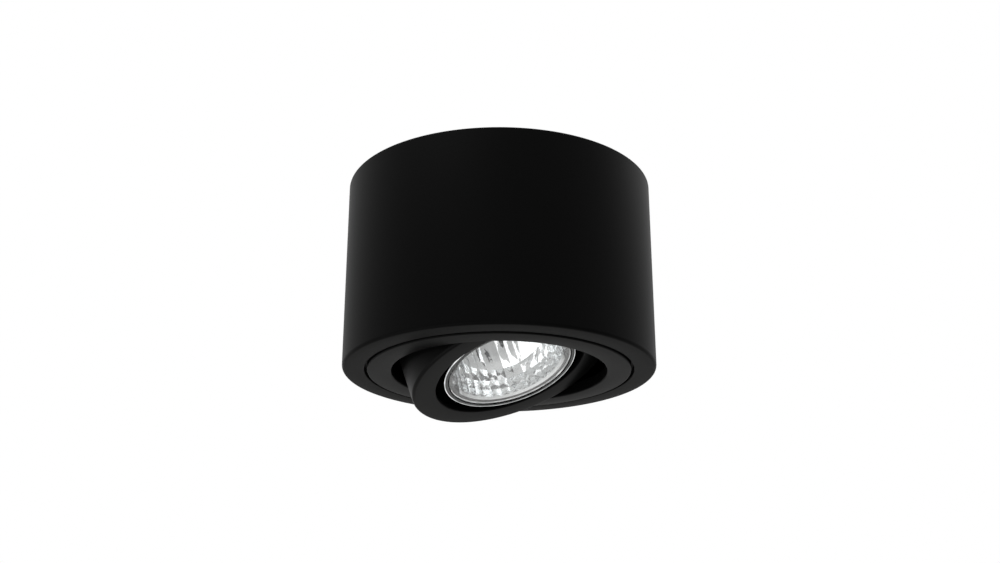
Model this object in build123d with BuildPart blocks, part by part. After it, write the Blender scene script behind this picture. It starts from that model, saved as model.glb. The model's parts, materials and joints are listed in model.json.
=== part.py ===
from build123d import *
import os
from math import cos, radians, sin, sqrt, tan

# Surface mounted ceiling spotlight: a round can on the ceiling, a ring that swivels in the
# can's bottom opening, and a cup with a reflector lamp that tilts in that ring.
# Millimetres and degrees. The origin is the centre of the face that lies on the ceiling,
# +Z points into the ceiling, and everything hangs below z = 0.

# ---------------------------------------------------------------- driving dimensions

# Housing
housing_diameter = 115.0
housing_height = 71.5
housing_wall = 1.8
housing_edge_radius = 1.2
lip_thickness = 2.0
lip_width = 8.1

# Swivel ring
groove_width = 1.0
ring_width = 8.8
ring_proud = 0.3
ring_edge_radius = 0.5
flange_overlap = 1.3
flange_thickness = 1.6
flange_gap = 0.2

# Tilt axis and the lamp's direction
pivot_height = 9.2
tilt_heading = 240.2
tilt_angle = 21.2
lamp_lean = 4.1

# Tilt ring, a cup round the lamp
tilt_ring_gap = 2.1
tilt_ring_wall = 1.5
tilt_ring_face_drop = 14.0
tilt_ring_face_thickness = 2.0
tilt_ring_top = 12.0
tilt_ring_edge_radius = 1.2
tilt_bore_diameter = 57.5
tilt_bore_edge_radius = 0.4

# Pivots, one on each side
pivot_diameter = 4.0
pivot_head_diameter = 7.6
pivot_head_height = 2.2
pivot_nut_flats = 7.0
pivot_nut_thickness = 2.2
washer_diameter = 8.0
friction_washer_thickness = 0.9
spring_washer_thickness = 0.5
ear_thickness = 1.2
ear_width = 12.0
ear_top_margin = 5.0
ear_foot_length = 7.6
ear_screw_spacing = 7.0

# Lamp strap
strap_thickness = 1.2
strap_width = 12.0
strap_foot_drop = 5.5
strap_shoulder_height = 12.0
strap_neck_gap = 3.0
strap_bend_radius = 3.0

# Reflector lamp, heights measured from the front of its rim
lamp_diameter = 50.0
lamp_recess = 0.8
lamp_rim_height = 3.0
lamp_rim_wall = 1.5
cover_glass_ledge = 1.9
lamp_neck_diameter = 22.4
lamp_bowl_height = 26.0
lamp_neck_end = 31.0
lamp_shoulder_height = 46.5
lamp_wall = 2.4
bowl_bulge_share = 0.13
cover_glass_thickness = 1.8
cover_glass_recess = 0.3
capsule_hole_diameter = 13.0
lamp_base_wall = 1.25
lamp_base_grip = 4.0
capsule_diameter = 9.0
capsule_wall = 0.8
capsule_tip_height = 9.0
capsule_bulb_length = 17.0
capsule_stem_diameter = 7.0
capsule_stem_length = 11.0
capsule_bore_diameter = 3.2
filament_diameter = 1.0
filament_length = 7.4
filament_tip_gap = 4.3
capsule_wire_diameter = 0.5
capsule_wire_spacing = 1.8
pin_spacing = 10.0
pin_shank_diameter = 2.4
pin_shank_length = 3.0
pin_root_length = 3.0
pin_head_diameter = 5.0
pin_head_height = 4.0

# Lampholder
holder_diameter = 28.0
holder_height = 14.0
holder_front_gap = 0.2
holder_face_thickness = 2.4
keyway_width = 3.2
keyhole_diameter = 5.8
twist_angle = 25.0
contact_thickness = 0.5
contact_width = 5.0
contact_gap = 0.3
holder_screw_inset = 3.0
holder_screw_diameter = 3.0
holder_screw_head_diameter = 5.5
holder_screw_length = 7.0
holder_lead_spacing = 8.0
holder_lead_depth = 6.0
holder_lead_height = 10.7

# Mounting plate
plate_thickness = 1.5
plate_edge_gap = 1.7
tab_width = 14.0
tab_height = 14.0
ceiling_slot_spacing = 64.0
ceiling_slot_length = 14.0
ceiling_slot_width = 5.0
side_screw_depth = 8.0
side_screw_diameter = 3.0
side_screw_length = 7.0
side_screw_head_diameter = 5.5

# Cable bush
cable_bush_x = -20.0
cable_bush_block_gap = 10.0
cable_bush_bore = 8.0
cable_bush_neck_diameter = 14.0
cable_bush_flange_diameter = 18.0
cable_bush_flange_thickness = 2.0

# Terminal block
block_x = 8.0
block_wall_gap = 20.7
block_width = 12.0
block_height = 11.0
block_corner_radius = 1.0
pole_count = 3
pole_pitch = 10.0
clamp_width = 5.5
clamp_height = 6.0
clamp_end_recess = 0.5
clamp_bore = 3.2
clamp_screw_diameter = 2.5
clamp_screw_head_diameter = 3.8
clamp_screw_spacing = 6.0
clamp_screw_length = 2.2
block_screw_diameter = 3.0

# Earth terminal on the plate
earth_x = 36.0
earth_block_gap = 16.0
earth_screw_diameter = 4.0
earth_tag_diameter = 7.6
earth_tag_thickness = 0.8
earth_barrel_length = 6.0
earth_barrel_wall = 0.45
earth_tongue_grip = 0.5

# Clips that hold the swivel ring down
clip_count = 3
clip_start_angle = 30.0
clip_reach = 2.5
clip_width = 9.0
clip_thickness = 0.8
clip_gap = 0.2
boss_diameter = 4.8
boss_wall_overlap = 0.1

# Small screws
small_screw_diameter = 2.5
small_screw_depth = 2.6
small_head_diameter = 4.4
screw_head_height = 1.5

# Leads
lead_diameter = 2.2
conductor_diameter = 1.0
conductor_length = 7.0
corner_share = 0.45
lead_exit_length = 6.5
holder_exit_length = 5.0

# Clearances
thread_clearance = 0.05
running_clearance = 0.05
part_gap = 0.1

# ---------------------------------------------------------------- derived places

housing_radius = housing_diameter / 2
housing_bore_radius = housing_radius - housing_wall
lip_opening_radius = housing_radius - lip_width
lip_top = lip_thickness - housing_height

ring_radius = lip_opening_radius - groove_width
ring_hole_radius = ring_radius - ring_width
ring_face = -housing_height - ring_proud
flange_radius = lip_opening_radius + flange_overlap
flange_bottom = lip_top + flange_gap
flange_top = flange_bottom + flange_thickness

tilt_direction = Vector(cos(radians(tilt_heading)), sin(radians(tilt_heading)), 0)
pivot_point = Vector(0, 0, flange_top + pivot_height)
swivel_frame = Plane(origin=pivot_point, x_dir=tilt_direction, z_dir=(0, 0, 1))
beam_up = Vector(0, 0, 1).rotate(Axis((0, 0, 0), tilt_direction), tilt_angle)
tilt_frame = Plane(origin=pivot_point, x_dir=tilt_direction, z_dir=beam_up)
tilt_ring_face = -tilt_ring_face_drop

# The lamp, its holder and the strap's top lean together, about the middle of the lamp's front
lamp_frame = Plane(
    origin=tilt_frame.offset(tilt_ring_face + lamp_recess).origin,
    x_dir=tilt_frame.x_dir.rotate(Axis((0, 0, 0), tilt_frame.y_dir), -lamp_lean),
    z_dir=tilt_frame.z_dir.rotate(Axis((0, 0, 0), tilt_frame.y_dir), -lamp_lean),
)
holder_front = lamp_shoulder_height + holder_front_gap
holder_back = holder_front + holder_height

pivot_radius = pivot_diameter / 2
pivot_hole_radius = pivot_radius + running_clearance
tilt_ring_radius = ring_hole_radius - tilt_ring_gap
tilt_bore_radius = tilt_bore_diameter / 2
ear_inner = tilt_ring_radius + part_gap + friction_washer_thickness
ear_outer = ear_inner + ear_thickness
pivot_head_seat = ear_outer + running_clearance + spring_washer_thickness
cup_bore_radius = tilt_ring_radius - tilt_ring_wall
strap_outer = sqrt(cup_bore_radius**2 - (strap_width / 2) ** 2) - part_gap
strap_inner = strap_outer - strap_thickness
strap_neck_half_width = holder_diameter / 2 + strap_neck_gap
holder_screw_spacing = holder_diameter - 2 * holder_screw_inset

tab_outer = sqrt(housing_bore_radius**2 - (tab_width / 2) ** 2) - part_gap
small_screw_radius = small_screw_diameter / 2
clip_seat = flange_top + clip_gap
boss_circle_radius = housing_bore_radius + boss_wall_overlap - boss_diameter / 2
block_y = housing_bore_radius - block_wall_gap
cable_bush_y = block_y - cable_bush_block_gap
earth_y = block_y - earth_block_gap
block_length = pole_count * pole_pitch
block_top = -plate_thickness
block_bottom = block_top - block_height
pole_axis = block_top - block_height / 2
pole_xs = [block_x + (i - (pole_count - 1) / 2) * pole_pitch for i in range(pole_count)]
clamp_length = block_width - 2 * clamp_end_recess


def section_of(frame):
    """The plane through a frame's z axis on which x is the radius and y the height."""
    return Plane(origin=frame.origin, x_dir=frame.x_dir, z_dir=-frame.y_dir)


def across(distance, frame=swivel_frame):
    """The plane square to the tilt axis, at a signed distance along it, facing outwards."""
    side = 1 if distance > 0 else -1
    place = frame.origin + frame.x_dir * distance
    return Plane(origin=place, x_dir=frame.y_dir, z_dir=frame.x_dir * side)


def make_screws(seat, spots, head_diameter, head_height, diameter, length):
    """Round-headed slotted screws with heads standing on a plane and shanks below it."""
    slot_width = diameter / 4
    with BuildPart() as screws:
        with BuildSketch(seat):
            with Locations(*spots):
                Circle(head_diameter / 2)
        extrude(amount=head_height)
        head_tops = screws.faces().sort_by(Axis(seat.origin, seat.z_dir))[-len(spots) :]
        fillet(head_tops.edges(), head_height / 3)
        with BuildSketch(seat):
            with Locations(*spots):
                Circle(diameter / 2)
        extrude(amount=-length)
        with BuildSketch(seat.offset(head_height)):
            with Locations(*spots):
                Rectangle(head_diameter, slot_width)
        extrude(amount=-head_height / 2, mode=Mode.SUBTRACT)
    return screws.part


def corner_radii(points):
    """The largest arc that each corner of a lead's route has room for."""
    runs = [b - a for a, b in zip(points, points[1:])]
    radii = []
    for before, after in zip(runs, runs[1:]):
        half_turn = radians(before.get_angle(after)) / 2
        radii.append(corner_share * min(before.length, after.length) / tan(half_turn))
    return radii


def beside_wall(angle, wall_gap, height):
    """A point of a lead's route, at a distance from the housing's inner wall."""
    return Vector(housing_bore_radius - wall_gap, 0, height).rotate(Axis.Z, angle)


def make_lead(name, points, bare_ends):
    """A sleeved lead along a route of tangent arcs, with its bare conductor at some ends."""
    radii = corner_radii(points)
    with BuildPart() as lead:
        with BuildLine() as route:
            FilletPolyline(*points, radius=radii)
        with BuildSketch(Plane(origin=points[0], z_dir=points[1] - points[0])) as outline:
            Circle(lead_diameter / 2)
        sweep()
        expected = outline.face().area * route.wire().length
        print(name, "length", round(route.wire().length, 1), "radii", [round(r, 1) for r in radii])
        print(name, "volume over section times length", round(lead.part.volume / expected, 4))
        for end, neighbour in bare_ends:
            with BuildSketch(Plane(origin=end, z_dir=end - neighbour)):
                Circle(conductor_diameter / 2)
            extrude(amount=conductor_length)
    return lead.part


# ---------------------------------------------------------------- housing and its screws

with BuildPart() as housing:
    with BuildSketch(Plane.XZ):
        with BuildLine():
            Polyline(
                (housing_bore_radius, 0),
                (housing_radius, 0),
                (housing_radius, -housing_height),
                (lip_opening_radius, -housing_height),
                (lip_opening_radius, lip_top),
                (housing_bore_radius, lip_top),
                close=True,
            )
        make_face()
    revolve(axis=Axis.Z)
    lower_rims = housing.edges().filter_by(GeomType.CIRCLE).group_by(Axis.Z)[0]
    fillet(lower_rims.sort_by(SortBy.RADIUS)[-1], min(housing_edge_radius, 0.95 * lip_thickness))
    with BuildSketch(Plane.XY.offset(lip_top)):
        with PolarLocations(boss_circle_radius, clip_count, start_angle=clip_start_angle):
            Circle(boss_diameter / 2)
    extrude(amount=clip_seat - lip_top)
    with BuildSketch(Plane.XY.offset(clip_seat)):
        with PolarLocations(boss_circle_radius, clip_count, start_angle=clip_start_angle):
            Circle(small_screw_radius + thread_clearance)
    extrude(amount=-(small_screw_depth + part_gap), mode=Mode.SUBTRACT)
    for side in (-1, 1):
        place = (side * housing_radius, 0, -side_screw_depth)
        with Locations(Plane(origin=place, x_dir=(0, 1, 0), z_dir=(side, 0, 0))):
            CounterSinkHole(
                radius=side_screw_diameter / 2 + part_gap,
                counter_sink_radius=side_screw_head_diameter / 2 + part_gap,
                depth=2 * housing_wall,
                counter_sink_angle=90,
            )

with BuildPart() as side_screws:
    cone_height = (side_screw_head_diameter - side_screw_diameter) / 2
    for side in (-1, 1):
        place = (side * (housing_radius - part_gap), 0, -side_screw_depth)
        flush = Plane(origin=place, x_dir=(0, 1, 0), z_dir=(side, 0, 0))
        with BuildSketch(flush):
            Circle(side_screw_head_diameter / 2)
        extrude(amount=-cone_height, taper=45)
        with BuildSketch(flush):
            Circle(side_screw_diameter / 2)
        extrude(amount=-side_screw_length)
        with BuildSketch(flush):
            RegularPolygon(side_screw_diameter / 3, 6)
        extrude(amount=-cone_height, mode=Mode.SUBTRACT)

# ---------------------------------------------------------------- mounting plate

plate_radius = housing_bore_radius - plate_edge_gap
earth_hole_radius = earth_screw_diameter / 2 + thread_clearance
block_fixings = [(x + pole_pitch / 2, block_y) for x in pole_xs[:-1]]

with BuildPart() as mounting_plate:
    tab_middle = tab_outer - plate_thickness / 2
    with BuildSketch():
        Circle(plate_radius)
        Rectangle(2 * tab_outer, tab_width)
    extrude(amount=-plate_thickness)
    with BuildSketch():
        with Locations((-tab_middle, 0), (tab_middle, 0)):
            Rectangle(plate_thickness, tab_width)
    extrude(amount=-tab_height)
    with BuildSketch():
        with Locations((-ceiling_slot_spacing / 2, 0), (ceiling_slot_spacing / 2, 0)):
            SlotOverall(ceiling_slot_length, ceiling_slot_width)
        with Locations((cable_bush_x, cable_bush_y)):
            Circle(cable_bush_neck_diameter / 2 + thread_clearance)
        with Locations((earth_x, earth_y)):
            Circle(earth_hole_radius)
        with Locations(*block_fixings):
            Circle(block_screw_diameter / 2 + thread_clearance)
    extrude(amount=-plate_thickness, mode=Mode.SUBTRACT)
    with BuildSketch(Plane.YZ):
        with Locations((0, -side_screw_depth)):
            Circle(side_screw_diameter / 2 + thread_clearance)
    extrude(amount=housing_radius, both=True, mode=Mode.SUBTRACT)

with BuildPart() as cable_bush:
    with BuildSketch(Plane.XY.offset(-part_gap)):
        with Locations((cable_bush_x, cable_bush_y)):
            Circle(cable_bush_neck_diameter / 2)
    extrude(amount=part_gap - plate_thickness)
    with BuildSketch(Plane.XY.offset(-plate_thickness)):
        with Locations((cable_bush_x, cable_bush_y)):
            Circle(cable_bush_flange_diameter / 2)
    extrude(amount=-cable_bush_flange_thickness)
    fillet(cable_bush.faces().sort_by(Axis.Z)[0].edges(), cable_bush_flange_thickness / 3)
    with BuildSketch():
        with Locations((cable_bush_x, cable_bush_y)):
            Circle(cable_bush_bore / 2)
    extrude(amount=-plate_thickness - cable_bush_flange_thickness, mode=Mode.SUBTRACT)

# ---------------------------------------------------------------- terminal block and earth

with BuildPart() as terminal_block:
    with BuildSketch(Plane.XY.offset(block_top)):
        with Locations((block_x, block_y)):
            RectangleRounded(block_length, block_width, block_corner_radius)
    extrude(amount=-block_height)
    with BuildSketch(Plane.XZ.offset(-block_y)):
        with Locations(*[(x, pole_axis) for x in pole_xs]):
            Rectangle(clamp_width + 2 * thread_clearance, clamp_height + 2 * thread_clearance)
    extrude(amount=block_width, both=True, mode=Mode.SUBTRACT)
    with BuildSketch(Plane.XY.offset(block_bottom)):
        for x in pole_xs:
            with Locations((x, block_y)):
                with GridLocations(1, clamp_screw_spacing, 1, 2):
                    Circle(clamp_screw_head_diameter / 2 + 2 * part_gap)
    extrude(amount=(block_height - clamp_height) / 2, mode=Mode.SUBTRACT)
    with BuildSketch(Plane.XY.offset(block_bottom)):
        with Locations(*block_fixings):
            Circle(block_screw_diameter / 2 + part_gap)
    extrude(amount=block_height, mode=Mode.SUBTRACT)

with BuildPart() as terminal_clamps:
    with BuildSketch(Plane.XZ.offset(-block_y)):
        with Locations(*[(x, pole_axis) for x in pole_xs]):
            Rectangle(clamp_width, clamp_height)
            Circle(clamp_bore / 2, mode=Mode.SUBTRACT)
    extrude(amount=clamp_length / 2, both=True)
    with BuildSketch(Plane.XY.offset(pole_axis - clamp_height / 2)):
        for x in pole_xs:
            with Locations((x, block_y)):
                with GridLocations(1, clamp_screw_spacing, 1, 2):
                    Circle(clamp_screw_diameter / 2 + thread_clearance)
    extrude(amount=clamp_height / 2, mode=Mode.SUBTRACT)

clamp_seat = Plane(origin=(0, 0, pole_axis - clamp_height / 2), x_dir=(1, 0, 0), z_dir=(0, 0, -1))
clamp_spots = [
    (x, -block_y + end * clamp_screw_spacing / 2) for x in pole_xs for end in (-1, 1)
]
terminal_screws = make_screws(
    clamp_seat,
    clamp_spots,
    clamp_screw_head_diameter,
    screw_head_height,
    clamp_screw_diameter,
    clamp_screw_length,
)

block_screw_seat = Plane(origin=(0, 0, block_bottom), x_dir=(1, 0, 0), z_dir=(0, 0, -1))
block_screws = make_screws(
    block_screw_seat,
    [(x, -y) for x, y in block_fixings],
    small_head_diameter,
    screw_head_height,
    block_screw_diameter,
    block_height + plate_thickness - part_gap,
)

earth_barrel_radius = lead_diameter / 2 + thread_clearance + earth_barrel_wall
earth_barrel_axis = block_top - earth_barrel_radius
earth_barrel_start = earth_x - earth_tag_diameter / 2
earth_barrel_end = earth_barrel_start - earth_barrel_length
earth_tongue_end = earth_barrel_start - earth_tongue_grip

with BuildPart() as earth_tag:
    with BuildSketch(Plane.XY.offset(block_top)):
        with Locations((earth_x, earth_y)):
            Circle(earth_tag_diameter / 2)
        with Locations(((earth_x + earth_tongue_end) / 2, earth_y)):
            Rectangle(earth_x - earth_tongue_end, 2 * earth_barrel_radius)
        with Locations((earth_x, earth_y)):
            Circle(earth_hole_radius, mode=Mode.SUBTRACT)
    extrude(amount=-earth_tag_thickness)
    with BuildSketch(Plane.YZ.offset(earth_barrel_end)):
        with Locations((earth_y, earth_barrel_axis)):
            Circle(earth_barrel_radius)
            Circle(lead_diameter / 2 + thread_clearance, mode=Mode.SUBTRACT)
    extrude(amount=earth_barrel_length)

earth_seat = Plane(
    origin=(0, 0, block_top - earth_tag_thickness), x_dir=(1, 0, 0), z_dir=(0, 0, -1)
)
earth_screw = make_screws(
    earth_seat,
    [(earth_x, -earth_y)],
    earth_tag_diameter - 4 * part_gap,
    screw_head_height,
    earth_screw_diameter,
    plate_thickness + earth_tag_thickness - part_gap,
)

clamp_entry = block_y - clamp_length / 2 - part_gap
earth_start = Vector(pole_xs[pole_count // 2], clamp_entry, pole_axis)
earth_route = [
    earth_start,
    earth_start - Vector(0, lead_exit_length, 0),
    Vector(15.0, earth_y, -5.2),
    Vector(23.0, earth_y, earth_barrel_axis),
    Vector(earth_tongue_end - earth_tongue_grip, earth_y, earth_barrel_axis),
]
earth_lead = make_lead("earth_lead", earth_route, [(earth_route[0], earth_route[1])])

# ---------------------------------------------------------------- swivel ring and its clips

with BuildPart() as swivel_ring:
    with BuildSketch(Plane.XZ):
        with BuildLine():
            Polyline(
                (ring_hole_radius, ring_face),
                (ring_radius, ring_face),
                (ring_radius, flange_bottom),
                (flange_radius, flange_bottom),
                (flange_radius, flange_top),
                (ring_hole_radius, flange_top),
                close=True,
            )
        make_face()
    revolve(axis=Axis.Z)
    face_rims = swivel_ring.edges().filter_by(GeomType.CIRCLE).group_by(Axis.Z)[0]
    fillet(face_rims, ring_edge_radius)
    ear_screw_radius = ear_outer + ear_foot_length / 2
    ring_top = Plane(origin=(0, 0, flange_top), x_dir=tilt_direction, z_dir=(0, 0, 1))
    with BuildSketch(ring_top):
        with GridLocations(2 * ear_screw_radius, ear_screw_spacing, 2, 2):
            Circle(small_screw_radius + thread_clearance)
    extrude(amount=-(small_screw_depth + part_gap), mode=Mode.SUBTRACT)

with BuildPart() as ring_clips:
    clip_inner = flange_radius - clip_reach
    clip_outer = sqrt(housing_bore_radius**2 - (clip_width / 2) ** 2) - part_gap
    with BuildSketch(Plane.XY.offset(clip_seat)):
        with PolarLocations((clip_inner + clip_outer) / 2, clip_count, start_angle=clip_start_angle):
            Rectangle(clip_outer - clip_inner, clip_width)
        with PolarLocations(boss_circle_radius, clip_count, start_angle=clip_start_angle):
            Circle(small_screw_radius + part_gap, mode=Mode.SUBTRACT)
    extrude(amount=clip_thickness)

clip_spots = [
    Vector(boss_circle_radius, 0).rotate(Axis.Z, clip_start_angle + i * 360 / clip_count)
    for i in range(clip_count)
]
ring_clip_screws = make_screws(
    Plane.XY.offset(clip_seat + clip_thickness),
    clip_spots,
    small_head_diameter,
    screw_head_height,
    small_screw_diameter,
    small_screw_depth + clip_thickness,
)

# ---------------------------------------------------------------- pivots

with BuildPart() as pivot_ears:
    ear_middle = ear_inner + ear_thickness / 2
    foot_height = ear_thickness / 2 - pivot_height
    foot_end = ear_outer + ear_foot_length
    for side in (-1, 1):
        with BuildSketch(section_of(swivel_frame)):
            with BuildLine():
                FilletPolyline(
                    (side * ear_middle, ear_top_margin),
                    (side * ear_middle, foot_height),
                    (side * foot_end, foot_height),
                    radius=ear_thickness,
                )
            trace(line_width=ear_thickness)
        extrude(amount=ear_width / 2, both=True)
    top_corners = pivot_ears.edges().filter_by(Axis(pivot_point, tilt_direction)).group_by(Axis.Z)[-1]
    fillet(top_corners, ear_width / 3)
    with BuildSketch(across(foot_end)):
        Circle(pivot_hole_radius)
    extrude(amount=-2 * foot_end, mode=Mode.SUBTRACT)
    with BuildSketch(ring_top):
        with GridLocations(2 * ear_screw_radius, ear_screw_spacing, 2, 2):
            Circle(small_screw_radius + part_gap)
    extrude(amount=ear_thickness, mode=Mode.SUBTRACT)

ear_screws = make_screws(
    ring_top.offset(ear_thickness),
    [
        (side * ear_screw_radius, end * ear_screw_spacing / 2)
        for side in (-1, 1)
        for end in (-1, 1)
    ],
    small_head_diameter,
    screw_head_height,
    small_screw_diameter,
    small_screw_depth + ear_thickness,
)

with BuildPart() as friction_washers:
    for side in (-1, 1):
        with BuildSketch(across(side * ear_inner)):
            Circle(washer_diameter / 2)
            Circle(pivot_hole_radius, mode=Mode.SUBTRACT)
        extrude(amount=-friction_washer_thickness)

with BuildPart() as spring_washers:
    for side in (-1, 1):
        with BuildSketch(across(side * pivot_head_seat)):
            Circle(washer_diameter / 2)
            Circle(pivot_hole_radius, mode=Mode.SUBTRACT)
        extrude(amount=-spring_washer_thickness)

pivot_nut_inner = strap_inner - pivot_nut_thickness
pivot_screw_sides = [
    make_screws(
        across(side * pivot_head_seat, tilt_frame),
        [(0, 0)],
        pivot_head_diameter,
        pivot_head_height,
        pivot_diameter,
        pivot_head_seat - pivot_nut_inner + part_gap,
    )
    for side in (-1, 1)
]
with BuildPart() as pivot_screws:
    add(pivot_screw_sides)

with BuildPart() as pivot_nuts:
    for side in (-1, 1):
        with BuildSketch(across(side * strap_inner, tilt_frame)):
            RegularPolygon(pivot_nut_flats / 2, 6, major_radius=False)
            Circle(pivot_radius + thread_clearance, mode=Mode.SUBTRACT)
        extrude(amount=-pivot_nut_thickness)

# ---------------------------------------------------------------- tilt ring and lamp strap

with BuildPart() as tilt_ring:
    face_back = tilt_ring_face + tilt_ring_face_thickness
    with BuildSketch(section_of(tilt_frame)):
        with BuildLine():
            Polyline(
                (tilt_bore_radius, tilt_ring_face),
                (tilt_ring_radius, tilt_ring_face),
                (tilt_ring_radius, tilt_ring_top),
                (cup_bore_radius, tilt_ring_top),
                (cup_bore_radius, face_back),
                (tilt_bore_radius, face_back),
                close=True,
            )
        make_face()
    beam_axis = Axis(tilt_frame.origin, tilt_frame.z_dir)
    revolve(axis=beam_axis)
    front_rims = tilt_ring.edges().filter_by(GeomType.CIRCLE).group_by(beam_axis)[0]
    fillet(front_rims.sort_by(SortBy.RADIUS)[-1], tilt_ring_edge_radius)
    front_rims = tilt_ring.edges().filter_by(GeomType.CIRCLE).group_by(beam_axis)[0]
    fillet(front_rims.sort_by(SortBy.RADIUS)[0], tilt_bore_edge_radius)
    with BuildSketch(across(pivot_head_seat, tilt_frame)):
        Circle(pivot_radius + thread_clearance)
    extrude(amount=-2 * pivot_head_seat, mode=Mode.SUBTRACT)


def beside_lamp(x, height):
    """A point beside the leaning lamp's axis, above its rim, as a point in the cup's section."""
    place = tilt_frame.to_local_coords(lamp_frame.from_local_coords((x, 0, height)))
    return (place.X, place.Z)


with BuildPart() as lamp_strap:
    strap_middle = strap_outer - strap_thickness / 2
    strap_plate_height = holder_back + strap_thickness / 2
    strap_route = [
        (strap_middle, -strap_foot_drop),
        (strap_middle, strap_shoulder_height),
        beside_lamp(strap_neck_half_width, strap_plate_height - holder_height),
        beside_lamp(strap_neck_half_width, strap_plate_height),
        beside_lamp(-strap_neck_half_width, strap_plate_height),
        beside_lamp(-strap_neck_half_width, strap_plate_height - holder_height),
        (-strap_middle, strap_shoulder_height),
        (-strap_middle, -strap_foot_drop),
    ]
    with BuildSketch(section_of(tilt_frame)):
        with BuildLine():
            FilletPolyline(*strap_route, radius=strap_bend_radius)
        trace(line_width=strap_thickness)
    extrude(amount=strap_width / 2, both=True)
    with BuildSketch(across(pivot_head_seat, tilt_frame)):
        Circle(pivot_radius + thread_clearance)
    extrude(amount=-2 * pivot_head_seat, mode=Mode.SUBTRACT)
    with BuildSketch(lamp_frame.offset(holder_back)):
        with GridLocations(holder_screw_spacing, 1, 2, 1):
            Circle(holder_screw_diameter / 2 + part_gap)
    extrude(amount=strap_thickness, mode=Mode.SUBTRACT)

# ---------------------------------------------------------------- lampholder

pin_end = lamp_shoulder_height + pin_shank_length + pin_head_height
holder_cavity_end = pin_end + contact_gap + contact_thickness
pin_angles = (90, 270)
keyway_turns = [CenterArc((0, 0), pin_spacing / 2, start, -twist_angle) for start in pin_angles]
keyhole_spots = [
    Vector(pin_spacing / 2, 0).rotate(Axis.Z, start - twist_angle) for start in pin_angles
]

with BuildPart() as holder_body:
    with BuildSketch(lamp_frame.offset(holder_front)):
        Circle(holder_diameter / 2)
    extrude(amount=holder_height)
    with BuildSketch(lamp_frame.offset(holder_front)):
        for turn in keyway_turns:
            SlotArc(turn, keyway_width)
        with Locations(*keyhole_spots):
            Circle(keyhole_diameter / 2)
    extrude(amount=holder_face_thickness, mode=Mode.SUBTRACT)
    with BuildSketch(lamp_frame.offset(holder_front + holder_face_thickness)):
        for turn in keyway_turns:
            SlotArc(turn, keyhole_diameter)
    extrude(
        amount=holder_cavity_end - holder_front - holder_face_thickness, mode=Mode.SUBTRACT
    )
    with BuildSketch(lamp_frame.offset(holder_back)):
        with GridLocations(holder_screw_spacing, 1, 2, 1):
            Circle(holder_screw_diameter / 2 + thread_clearance)
    extrude(amount=-(holder_screw_length + part_gap), mode=Mode.SUBTRACT)
    lead_side = Plane(
        origin=lamp_frame.origin - lamp_frame.y_dir * holder_diameter / 2,
        x_dir=lamp_frame.x_dir,
        z_dir=-lamp_frame.y_dir,
    )
    with BuildSketch(lead_side):
        with Locations((0, holder_front + holder_lead_height)):
            with GridLocations(holder_lead_spacing, 1, 2, 1):
                Circle(lead_diameter / 2 + 2 * part_gap)
    extrude(amount=-holder_lead_depth - part_gap, mode=Mode.SUBTRACT)

with BuildPart() as holder_contacts:
    with BuildSketch(lamp_frame.offset(holder_cavity_end)):
        with GridLocations(1, pin_spacing, 1, 2):
            Circle(contact_width / 2)
    extrude(amount=-contact_thickness)

holder_screws = make_screws(
    lamp_frame.offset(holder_back + strap_thickness),
    [(-holder_screw_spacing / 2, 0), (holder_screw_spacing / 2, 0)],
    holder_screw_head_diameter,
    screw_head_height,
    holder_screw_diameter,
    holder_screw_length + strap_thickness,
)

# ---------------------------------------------------------------- reflector lamp

lamp_axis = Axis(lamp_frame.origin, lamp_frame.z_dir)
lamp_section = section_of(lamp_frame)
lamp_radius = lamp_diameter / 2
seat_radius = lamp_radius - lamp_rim_wall
opening_radius = seat_radius - cover_glass_ledge
cover_seat = cover_glass_recess + cover_glass_thickness
neck_radius = lamp_neck_diameter / 2
lamp_base_bore = neck_radius + thread_clearance
capsule_hole_radius = capsule_hole_diameter / 2
inner_bowl_end = lamp_bowl_height - lamp_wall


def bowl_bulge(start, end):
    """The middle of an arc that bulges outwards from the straight line of a bowl's wall."""
    chord = Vector(*end) - Vector(*start)
    middle = (Vector(*start) + Vector(*end)) * 0.5
    return middle + Vector(chord.Y, -chord.X) * bowl_bulge_share


with BuildPart() as lamp_reflector:
    with BuildSketch(lamp_section):
        outer_start = (lamp_radius, lamp_rim_height)
        outer_end = (neck_radius, lamp_bowl_height)
        inner_start = (opening_radius, cover_seat)
        inner_end = (capsule_hole_radius, inner_bowl_end)
        with BuildLine():
            Polyline(
                inner_start,
                (seat_radius, cover_seat),
                (seat_radius, 0),
                (lamp_radius, 0),
                outer_start,
            )
            ThreePointArc(outer_start, bowl_bulge(outer_start, outer_end), outer_end)
            Polyline(
                outer_end,
                (neck_radius, lamp_neck_end),
                (capsule_hole_radius, lamp_neck_end),
                inner_end,
            )
            ThreePointArc(inner_end, bowl_bulge(inner_start, inner_end), inner_start)
        make_face()
    revolve(axis=lamp_axis)
    rim_edge = lamp_reflector.edges().filter_by(GeomType.CIRCLE).group_by(lamp_axis)[0]
    fillet(rim_edge.sort_by(SortBy.RADIUS)[-1], cover_glass_recess * 2)

with BuildPart() as lamp_cover_glass:
    with BuildSketch(lamp_frame.offset(cover_seat)):
        Circle(seat_radius - part_gap)
    extrude(amount=-cover_glass_thickness)
    glass_front = lamp_cover_glass.faces().sort_by(lamp_axis)[0]
    fillet(glass_front.edges(), cover_glass_recess)

capsule_bulb_end = capsule_tip_height + capsule_bulb_length
capsule_stem_end = capsule_bulb_end + capsule_stem_length
capsule_radius = capsule_diameter / 2
capsule_bore_radius = capsule_bore_diameter / 2

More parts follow.
